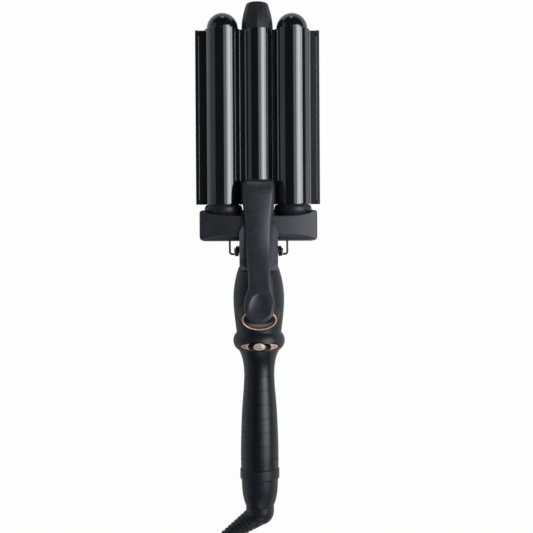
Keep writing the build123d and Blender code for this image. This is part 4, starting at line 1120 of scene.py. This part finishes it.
@dataclass(frozen=True)
class Display:
    """The oval display: boss, plated ring and a slightly domed lens."""

    origin: Point = (0.0, -74.0, 42.3)
    tilt: float = 20.0
    half_a: float = 12.3
    half_b: float = 7.7
    bottom: float = -0.5
    rim: float = 0.25
    crown: float = 0.75
    rim_r: float = 1.3
    rows: int = 26
    sides: int = 120
    ring_a: float = 12.95
    ring_b: float = 8.35
    ring_z: float = 0.2
    ring_width: float = 0.72
    ring_height: float = 0.8
    rim_share: float = 0.55
    ring_sides: int = 20

    def axes(self) -> tuple[Array, Array]:
        """Return the display plane's direction along the handle, and its normal."""
        turn = math.radians(self.tilt)
        up = np.array((0.0, -math.sin(turn), math.cos(turn)))
        return np.array((0.0, math.cos(turn), math.sin(turn))), up

    def lens(self) -> Any:
        """Return the lens, which is a shallow dome with a rounded rim."""
        rings = []
        for row in range(self.rows + 1):
            share = math.cos(row / self.rows * math.pi / 2)
            fall = self.rim_share * rounding(self.half_b * (1.0 - share), self.rim_r)
            height = self.rim + self.crown * (1.0 - share**2) - fall
            rings.append(self.oval(max(share, TIP_SHARE), height))
        rings.insert(0, self.oval(1.0, self.bottom))
        return make_piece("display_glass", *loft(rings), LENS_TINT)

    def ring(self) -> Any:
        """Return the plated ring, rounded over its width."""
        middle = np.array(self.origin)
        slide = np.outer(np.sin(round_turn(self.sides)), self.axes()[0])
        rings = []
        for turn in round_turn(self.ring_sides):
            out = self.ring_width * math.cos(turn)
            ring = self.oval(1.0, self.ring_z + self.ring_height * math.sin(turn))
            wider = middle + (ring - middle) * ((self.ring_a + out) / self.half_a, 1.0, 1.0)
            rings.append(wider + slide * (self.ring_b + out - self.half_b))
        points, faces = loft([*rings, rings[0]])
        return make_piece("display_bezel", points, faces[:-2], ROSE_RING)

    def oval(self, share: float, height: float) -> Array:
        """Return an oval of a share of the lens's size, at a height above the display's plane."""
        along, up = self.axes()
        plan = ellipse(self.half_a * share, self.half_b * share, round_turn(self.sides))
        return np.array(self.origin) + plan @ np.array([(1.0, 0.0, 0.0), along]) + up * height

    def build(self, frame: Frame) -> None:
        """Build the lens and dress the pieces round it."""
        lens = self.lens()
        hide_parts("display_lens")
        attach(lens, "head")
        ring = self.ring()
        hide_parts("display_ring")
        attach(ring, "head")
        dress(frame, display_boss=BOSS_SKIN, display_module=COMPONENT_BODY)


@dataclass(frozen=True)
class Controls:
    """The three plated buttons with domed tops, in their glossy strip."""

    centre_y: float = -95.5
    axis_z: float = 20.6
    arc_centre: Pair = (11.479, -91.778)
    arc_r: float = 9.121
    rise: float = 0.5
    sink: float = 0.9
    strip_a: float = 14.6
    strip_b: float = 3.0
    recess_a: float = 9.0
    recess_b: float = 5.0
    power_a: float = 4.7
    power_b: float = 2.9
    dome: float = 1.0
    mark_x: float = 11.6
    mark_half: float = 1.05
    mark_r: float = 0.2
    mark_lift: float = -0.02
    power_mark_r: float = 1.35
    power_mark_turn: Pair = (125.0, 415.0)
    power_bar: Pair = (0.2, 1.9)
    seat: float = 0.35
    cap_share: float = 0.97
    mark_steps: int = 9
    arc_steps: int = 25
    mark_sides: int = 8
    rows: int = 14
    sides: int = 96

    def skin(self, x: Array, y: Array) -> Array:
        """Return the height of the buttons' common outer surface at points."""
        radius = self.arc_centre[0] + np.sqrt(self.arc_r**2 - (y - self.arc_centre[1]) ** 2)
        return self.axis_z + np.sqrt((radius + self.rise) ** 2 - x**2)

    def outline(self, sign: int) -> Array:
        """Return a button's outline in plan: left, middle or right for -1, 0 or 1."""
        if sign == 0:
            turns = round_turn(self.sides)
            return ellipse(self.power_a, self.power_b, turns)
        spread = self.strip_a**2 - self.recess_a**2
        narrowing = (self.strip_a / self.strip_b) ** 2 - (self.recess_a / self.recess_b) ** 2
        corner = math.sqrt(spread / narrowing)
        end, inner_end = math.asin(corner / self.strip_b), math.asin(corner / self.recess_b)
        turns = np.linspace(-end, end, self.sides // 2)
        outer_line = ellipse(self.strip_a, self.strip_b, turns)
        turns = np.linspace(inner_end, -inner_end, self.sides // 2)[1:-1]
        inner_line = ellipse(self.recess_a, self.recess_b, turns)
        return np.concatenate([outer_line, inner_line]) * np.array((sign, 1.0))

    def cap(self, name: str, sign: int) -> Any:
        """Return a button's domed top.

        Args:
            name: The piece's name.
            sign: -1, 0 or 1 for the left, middle or right button.

        Returns:
            The new object.
        """
        plan = self.outline(sign)
        middle = plan.mean(0)
        rings = []
        for row in range(self.rows + 1):
            share = max(math.cos(row / self.rows * math.pi / 2), TIP_SHARE)
            ring = middle + (plan - middle) * share * self.cap_share
            x, y = ring[:, 0], ring[:, 1] + self.centre_y
            lift = self.dome * math.sqrt(max(0.0, 1 - share**2))
            rings.append(np.stack([x, y, self.skin(x, y) - self.sink * self.seat + lift], 1))
        x, y = rings[0][:, 0], rings[0][:, 1]
        rings.insert(0, np.stack([x, y, self.skin(x, y) - self.sink], 1))
        # The middle button takes the lighter rose copy, a painted highlight; the side buttons take the plain
        # plating.
        return make_piece(name, *loft(rings), ROSE_PLATE if sign else ROSE_PAINTED_HIGHLIGHT)

    def mark(self, name: str, key: str, line: Array) -> None:
        """Lay a printed stroke on a button.

        Args:
            name: The piece's name.
            key: The button's body.
            line: The stroke's points in plan, from the button strip's middle.
        """
        x, y = line[:, 0], line[:, 1] + self.centre_y
        z = self.skin(x, y) - self.sink * self.seat + self.dome + self.mark_lift
        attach(strand(name, np.stack([x, y, z], 1), self.mark_r, MARK_DARK, self.mark_sides), key)

    def marks(self) -> None:
        """Lay the minus, the plus and the power sign."""
        half = self.mark_half
        none = np.zeros(self.mark_steps)
        bar = np.stack([np.linspace(-half, half, self.mark_steps), none], 1)
        side = np.array((self.mark_x, 0.0))
        self.mark("minus_mark", "minus_key", bar - side)
        self.mark("plus_mark_across", "plus_key", bar + side)
        self.mark("plus_mark_along", "plus_key", bar[:, ::-1] + side)
        turns = np.radians(np.linspace(*self.power_mark_turn, self.arc_steps))
        self.mark("power_mark_arc", "power_key", ellipse(self.power_mark_r, self.power_mark_r, turns))
        stroke = np.stack([none, np.linspace(*self.power_bar, self.mark_steps)], 1)
        self.mark("power_mark_bar", "power_key", stroke)

    def build(self, frame: Frame) -> None:
        """Build the buttons' tops and dress the rest."""
        for key, sign in (("minus", -1), ("power", 0), ("plus", 1)):
            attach(self.cap(f"{key}_button_top", sign), f"{key}_key")
            dress(frame, **{f"{key}_button": ROSE_PLATE})
        self.marks()
        dress(frame, control_strip=PIANO_BLACK, control_board=BOARD_GREEN, main_board=BOARD_GREEN)
        dress(frame, button_switches=COMPONENT_BODY, board_parts=COMPONENT_BODY, heater_leads=CORD_SKIN)


def main() -> None:
    """Build the studio and every sub-assembly."""
    logging.basicConfig(level=logging.INFO)
    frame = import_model()
    Studio().build()
    plug = MainsPlug().build(frame)
    MainsCord().build(frame, ["strain_relief", plug, "plug_blades"])
    for group in (Head(), Press(), Hinge(), Lever(), Handle(), Display(), Controls()):
        group.build(frame)
        log.info("%s built", type(group).__name__)


if __name__ == "__main__":
    main()
